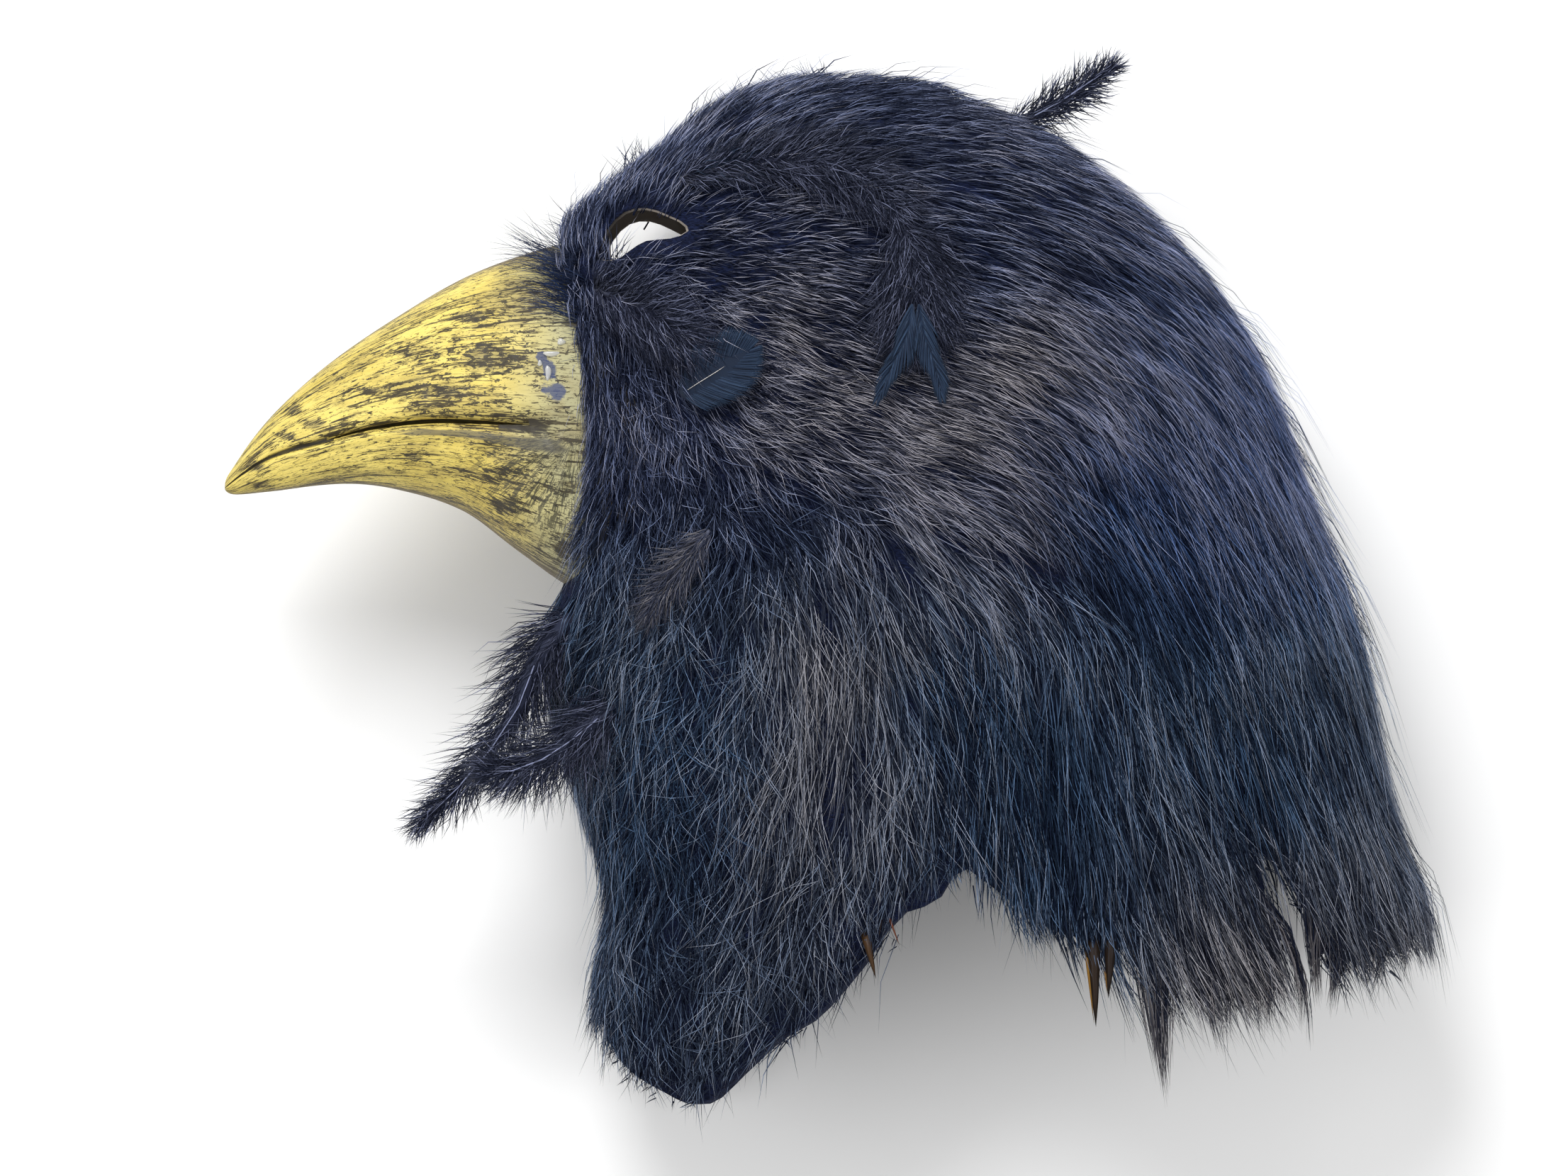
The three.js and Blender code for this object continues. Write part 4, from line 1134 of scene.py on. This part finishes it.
# barbs leave the line at an angle to its direction, bend towards its tip and rise off it by
# rise * (2 s - 1.6 s^2); down lies at random and waves, and a vane's barbs lie side by side
def barbsOf(feather, row):
    kind, isDown, count = kinds[row["kind"]], row["kind"] == "down", row["count"]
    low, high = row.get("span", (0.0, 1.0))
    if isDown:
        share = chance.uniform(low, high, count)
        side = chance.choice(row.get("sides", (-1, 1)), count)
    else:
        share = low + (high - low) * (np.arange(count) + 0.5) / count
        side = np.where(np.arange(count) % 2, 1, -1)
    middle, way, across, out = frameAlong(feather, np.clip(share, 0.01, 0.99))
    angle = np.radians(evenCurve(row["angle"])(share)) + chance.normal(0, kind["mess"], count)
    length = evenCurve(row["length"])(share) * chance.uniform(1 - kind["jitter"], 1.08, count)
    half = evenCurve(feather["core"][0])(share) if "core" in feather else 0 * share
    start = half * chance.uniform(*kind["start"], count)
    run = np.linspace(0, 1, kind["steps"])
    s = run[None, :, None]
    away = (across * (side * np.sin(angle))[:, None] + way * np.cos(angle)[:, None])[:, None]
    rise = kind["rise"] * chance.uniform(0.1, 1.1, count)[:, None, None]
    wave = chance.normal(0, kind["wave"], (count, 1, 1)) * length[:, None, None]
    path = (middle[:, None] + across[:, None] * (side * start)[:, None, None]
            + (away * s + way[:, None] * kind["bend"] * s**2) * length[:, None, None]
            + out[:, None] * rise * (2 * s - 1.6 * s**2)
            + across[:, None] * wave * np.sin(s * 4.0) * s)
    width = kind["thick"] * chance.uniform(0.75, 1.2, (count, 1)) * (1 - 0.75 * run**2)
    dark, pale = dyes[row["dye"]]
    if isDown:
        tone = chance.random((count, 1)) ** 3.8 * (0.4 + 0.6 * run)
    else:
        tone = 0.26 + 0.12 * chance.normal(0, 1, (count, 1)) + 0.4 * run**5
    tone = np.clip(tone, 0, 1)[..., None]
    colour = dark * (1 - tone) + pale * tone
    lay = np.broadcast_to(out[:, None], path.shape)
    return path, width, lay, colour, np.full(count, kind["flat"])


# the shaft: one long strand from share to share
def quillOf(feather):
    low, high, thick, dye = feather["quill"]
    share = np.linspace(low, high, 5)
    middle, _, _, out = frameAlong(feather, np.clip(share, 0.005, 0.995))
    path = (middle + out * (0.5 + feather["core"][1][2]))[None]
    colour = np.broadcast_to(dyes[dye][1], (1, 5, 3))
    return path, np.full((1, 5), thick), out[None], colour, np.array([0.9])


# the dense middle of a feather: a leaf with the line's half widths and half thicknesses
def coreOf(name, feather):
    steps, sides = 16, 12
    share = np.linspace(0, 1, steps)
    middle, _, across, out = frameAlong(feather, np.clip(share, 0.005, 0.995))
    turn = turnsOf(sides)[0]
    wide, thick = [evenCurve(v)(share)[:, None, None] for v in feather["core"]]
    rings = (middle[:, None] + across[:, None] * wide * np.cos(turn)[None, :, None]
             + out[:, None] * thick * np.sin(turn)[None, :, None])
    piece = putMesh(name, rings.reshape(-1, 3), tubeFaces(steps, sides), featherMaterial)
    turnedOut(piece)
    dark, pale = dyes[feather["rows"][0]["dye"]]
    streak = 0.06 + 0.06 * noiseAt(np.repeat(share * 6, sides), np.tile(turn * 4, steps))
    putColours(piece, "hairColour", dark + (pale - dark) * np.clip(streak, 0, 1)[:, None])
    return piece


# one piece of groups of strands; groups with equally many points to a strand are one mesh first
def strandPiece(name, groups, material, slotName, *nodes):
    sameLong = {}
    for group in groups:
        sameLong.setdefault(group[0].shape[1], []).append(group)
    joined = []
    for steps, same in sameLong.items():
        path, width, lay, colour, flat = [np.concatenate(part) for part in zip(*same)]
        joined.append(strandMesh(f"{name}_{steps}", path, width, lay, colour, material, flat))
    piece = joined[0]
    if len(joined) > 1:
        with bpy.context.temp_override(active_object=piece, selected_editable_objects=joined):
            bpy.ops.object.join()
    piece.name = name
    ownPiece(piece, slotName, *nodes)


def makeFeathers():
    for name, feather in feathers.items():
        slotName = "fluff" if name == "jaw_down" else "feather"
        groups = [barbsOf(feather, row) for row in feather["rows"]]
        if "quill" in feather:
            groups.append(quillOf(feather))
        if name == "ear_vane":
            groups += [barbsOf({"lift": prongs["lift"], "line": line}, prongs["row"])
                       for line in prongs["lines"]]
        strandPiece(name, groups, featherMaterial, slotName, feather["node"])
        ownPiece(coreOf(f"{name}_core", feather), slotName)
        print(name)


# how much a place lies under a flat feather, 0 to 1: one at the feather's line, falling to 0 at
# its width
def underFeather(x, y):
    under = np.zeros(np.shape(x))
    lines = [(feathers["cheek_vane"]["line"], 14), *[(line, 7) for line in prongs["lines"]]]
    for line, width in lines:
        for px, py in line:
            under = np.maximum(under, smoothStep(width, width * 0.6, np.hypot(x - px, y - py)))
    return under


# what the regions' hair has in common: how much longer it is than the comb says, how wide a tuft
# is and how far it closes, curl, width of a hair, brightness, share of stray hairs, and the
# direction of its bands in degrees
common = {"length": 1.2, "spread": 2.5, "clump": 0.36, "curl": 0.05, "thick": 0.52,
          "bright": 1.0, "stray": 0.03, "grain": -15, "steps": 3}
# tufts, hairs in each, the window as turns in half circles and shares down, and what differs
regions = {
    "fur_crown": (1620, 8, ((0.03, 0.006), (0.985, 0.37)), {"grain": -8, "bright": 1.15}),
    "fur_cheek": (2050, 8, ((0.36, 0.35), (1.0, 0.63)),
                  {"spread": 2.3, "clump": 0.25, "thick": 0.48, "bright": 1.3}),
    "fur_nape": (1700, 9, ((-0.03, 0.35), (0.38, 0.68)),
                 {"spread": 3.0, "clump": 0.5, "thick": 0.54, "stray": 0.04, "grain": -60,
                  "bright": 1.75}),
    "fur_cape": (1480, 9, ((-0.03, 0.66), (0.5, 1.0)),
                 {"spread": 3.3, "clump": 0.6, "thick": 0.56, "stray": 0.04, "grain": -70,
                  "bright": 1.9}),
    "fur_bib": (1250, 9, ((0.48, 0.6), (1.03, 1.0)),
                {"spread": 2.9, "clump": 0.5, "thick": 0.56, "stray": 0.04, "grain": -100,
                 "bright": 2.8}),
    "fur_under": (450, 9, ((1.0, 0.01), (1.98, 1.0)),
                  {"spread": 4.0, "thick": 1.1, "length": 1.1, "grain": -70}),
}

# bristles over the beak's root and on the forehead's edge: x, y of the first and the last root,
# direction in degrees, length, count and height over the surface
whiskers = [
    ((146, 352), (152, 334), 160, 34, 110, 2.0),
    ((145, 366), (148, 350), 158, 40, 110, 2.2),
    ((148, 378), (146, 364), 146, 20, 34, 3.0),
    ((152, 334), (154, 318), 172, 12, 24, 1.0),
    ((169, 396), (178, 403), 108, 18, 50, 2.0),
    ((203, 416), (221, 427), 122, 17, 80, 2.0),
    ((228, 429), (256, 434), 126, 17, 110, 2.0),
]


whiskerHair = {"scatter": 1.5, "inset": 3, "fan": 0.16, "curl": 0.18, "length": (0.4, 1.05),
               "thick": 0.34, "palest": 0.5}


# a group of strands that lie in the mask's plane, from deep to another colour by their tone
def flatHairs(path, width, tone, pale):
    colour = coat["deep"] * (1 - tone) + pale * tone
    lay = np.broadcast_to([0.0, 0.0, 1.0], path.shape)
    return path, width, lay, colour, np.full(len(path), 0.7)


# each bristle runs from its root in a direction that turns on evenly, over the surface below it
def makeWhiskers():
    groups, s, own = [], np.linspace(0, 1, 5), whiskerHair
    for (x0, y0), (x1, y1), degrees, reach, count, rise in whiskers:
        share = chance.random(count)
        x = x0 + (x1 - x0) * share + chance.normal(0, own["scatter"], count) + own["inset"]
        y = y0 + (y1 - y0) * share + chance.normal(0, own["scatter"], count)
        angle = np.radians(degrees) + chance.normal(0, own["fan"], count)
        length = (reach * chance.uniform(*own["length"], count))[:, None]
        turned = angle[:, None] + chance.normal(0, own["curl"], count)[:, None] * s
        px = x[:, None] + np.cos(turned) * length * s
        py = y[:, None] + np.sin(turned) * length * s
        over = np.maximum(np.nan_to_num(beakHeight(px, py)), furHeight(px, py) - 2)
        pz = over + rise * chance.uniform(0.1, 1, count)[:, None] * np.sin(s * 2.2) + 0.4
        width = own["thick"] * chance.uniform(0.7, 1.2, (count, 1)) * (1 - 0.8 * s**1.5)
        tone = chance.uniform(0, own["palest"], (count, 1, 1)) * s[None, :, None]
        groups.append(flatHairs(np.stack([px, py, pz], -1), width, tone, coat["blue"]))
    strandPiece("whiskers", groups, furMaterial, "fur")


# locks that hang below the hem: x, y of the first and the last root, x, y of the tip, bow to the
# left, count
locks = [
    ((376, 86), (404, 74), (396, 11), 2, 130), ((404, 74), (430, 70), (421, 30), 2, 60),
    ((424, 72), (442, 74), (439, 36), 0, 50), ((434, 100), (445, 74), (458, 32), -3, 50),
    ((453, 104), (466, 82), (461, 48), 2, 70), ((464, 90), (478, 80), (466, 46), 0, 60),
    ((474, 84), (500, 88), (482, 52), -2, 60), ((488, 90), (504, 92), (498, 62), -2, 60),
]
lockHair = {"scatter": 1.6, "tip": (1.3, 3.0), "loose": 0.35, "lift": (-2, 5), "thick": 0.56}
# dry brown points under the hem: x, y of root and tip, width and colour
dryPoints = [
    ((365, 84), (366.6, 41), 8.6, (40, 29, 18)), ((361.8, 78), (365.8, 42), 1.8, (116, 84, 28)),
    ((373, 84), (371.7, 53), 7.6, (36, 27, 19)), ((370.2, 66), (371.3, 55), 1.2, (104, 74, 28)),
    ((280, 88), (285, 74.5), 1.4, (92, 50, 30)), ((277.5, 88), (276.2, 78), 1.6, (30, 22, 20)),
    ((270, 82), (275, 61), 5.0, (62, 43, 22)),
]


# each hair of a lock runs from its root to the tip, near which they all meet; the dry points
# start inside the fur and come out of it at the hem
def makeLocks():
    groups, s, own = [], np.linspace(0, 1, 5), lockHair
    for first, last, tip, bow, count in locks:
        share = chance.random((count, 1))
        root = np.array(first) * (1 - share) + np.array(last) * share
        root = root + chance.normal(0, own["scatter"], (count, 2))
        end = np.array(tip) + chance.normal(0, 1, (count, 2)) * own["tip"] \
            + (root - tip) * chance.uniform(0, own["loose"], (count, 1))
        gather = np.stack([s**0.55, s], -1)
        plan = root[:, None] * (1 - gather) + end[:, None] * gather
        plan[..., 0] -= bow * np.sin(s * np.pi) * chance.uniform(0.5, 1.3, (count, 1))
        low = furHeight(plan[..., 0], np.maximum(plan[..., 1], 60)) - 3
        height = low + chance.uniform(*own["lift"], (count, 1)) * np.sin(s * 2)
        width = own["thick"] * chance.uniform(0.7, 1.3, (count, 1)) * (1 - 0.85 * s**1.4)
        tone = chance.random((count, 1, 1)) ** 3 * (0.4 + 0.6 * s[None, :, None])
        path = np.concatenate([plan, height[..., None]], -1)
        groups.append(flatHairs(path, width, tone, coat["brown"]))
    for root, tip, wide, shade in dryPoints:
        plan = np.array(root) * (1 - s[:, None]) + np.array(tip) * s[:, None]
        height = furHeight(plan[:, 0], 84.0) - 5 + 15 * s**0.5 - 11 * s + (wide < 3) * s
        path = np.column_stack([plan, height])[None]
        groups.append((path, wide * (1 - 0.9 * s[None] ** 1.2),
                       np.full(path.shape, (0.0, 0.0, 1.0)),
                       np.broadcast_to(linear(shade), path.shape), np.array([0.16])))
    strandPiece("hem_locks", groups, furMaterial, "fur")


# clear glue that set in drops at the beak's root: flattened balls, as x, y and half sizes
glue = [(139.5, 322, 3.6, 1.2), (138, 314, 1.3, 3.2), (143.5, 327, 1.8, 1.4),
        (134.5, 318, 1.0, 1.4)]


def makeGlue():
    material = Maker("setGlue").finish({"Base Color": (0.9, 0.9, 0.88, 1), "Roughness": 0.08,
                                        "Transmission Weight": 0.6, "IOR": 1.4})
    rings, columns = 12, 20
    polar, turn = np.linspace(0.06, np.pi - 0.06, rings)[:, None], turnsOf(columns)
    points, faces = [], []
    for i, (x, y, wide, tall) in enumerate(glue):
        lumps = 1 + 0.12 * np.sin(3 * turn + i) * np.sin(polar)
        drop = np.stack([x + wide * np.sin(polar) * np.cos(turn) * lumps,
                         y + tall * np.sin(polar) * np.sin(turn) * lumps,
                         beakHeight(x, y) + 0.2 + 0.9 * np.cos(polar) + 0 * turn], -1)
        points.append(drop.reshape(-1, 3))
        faces += tubeFaces(rings, columns, i * rings * columns)
    piece = putMesh("glue_drops", np.concatenate(points), faces, material)
    turnedOut(piece)
    ownPiece(piece, "latex")


for name, region in regions.items():
    growFur(name, *region)
makeFeathers()
makeWhiskers()
makeLocks()
makeGlue()
print("fur and feathers ready")

studio = {
    "mmPerPixel": 0.3, "width": 2212, "height": 1659,
    "beakTip": 317, "lowest": 1576,  # where x and y are 0, in pixels of the photo
    "distance": 3.6, "sensor": 36.0, "sky": 0.62, "floor": 6.0,
    "lamps": {  # place, size and watts
        "key": ((-0.45, 1.5, 1.7), 1.1, 44),
        "fill": ((-1.4, -0.3, 1.6), 1.6, 11),
        "back": ((1.5, 0.2, 1.2), 1.0, 8),
    },
}


def softLight(name, place, size, watts):
    light = bpy.data.lights.new(name, "AREA")
    light.shape = "DISK"
    light.size = size
    light.energy = watts
    lamp = bpy.data.objects.new(name, light)
    lamp.location = place
    away = np.array(place) - np.array([0, 0, 0.08])
    turn = np.arctan2(away[1], away[0])
    lamp.rotation_euler = (0, np.arctan2(np.hypot(away[0], away[1]), away[2]), turn)
    bpy.context.scene.collection.objects.link(lamp)


def makeStudio():
    scene = bpy.context.scene
    scene.view_settings.view_transform = "Standard"
    mm = studio["mmPerPixel"]
    middle = inScene([(studio["width"] / 2 - studio["beakTip"]) * mm,
                      (studio["lowest"] - studio["height"] / 2) * mm, mask["middleZ"]])
    camera = bpy.data.objects.new("camera", bpy.data.cameras.new("camera"))
    camera.location = (middle[0], middle[1], middle[2] + studio["distance"])
    camera.data.sensor_width = studio["sensor"]
    camera.data.lens = studio["sensor"] * studio["distance"] * 1000 / (studio["width"] * mm)
    camera.data.clip_end = 50
    scene.collection.objects.link(camera)
    scene.camera = camera

    world = bpy.data.worlds.new("studio")
    world.use_nodes = True
    sky = world.node_tree.nodes["Background"].inputs
    sky[0].default_value = (1, 1, 1, 1)
    sky[1].default_value = studio["sky"]
    scene.world = world
    for name, lamp in studio["lamps"].items():
        softLight(name, *lamp)

    m = Maker("paleFloor")
    pale = m.mix(m.noise(m.objectPlace(), 6.0, 2.0) * 0.1, (0.9, 0.9, 0.9), (0.87, 0.87, 0.87))
    floorMaterial = m.finish({"Base Color": pale, "Roughness": 0.9, "Specular IOR Level": 0.1})
    size = studio["floor"]
    floor = putMesh("floor", np.array([[-size, -size, 0], [size, -size, 0], [size, size, 0],
                                       [-size, size, 0]]), np.array([[0, 1, 2, 3]]),
                    floorMaterial, inMm=False)


makeStudio()
print("studio ready")
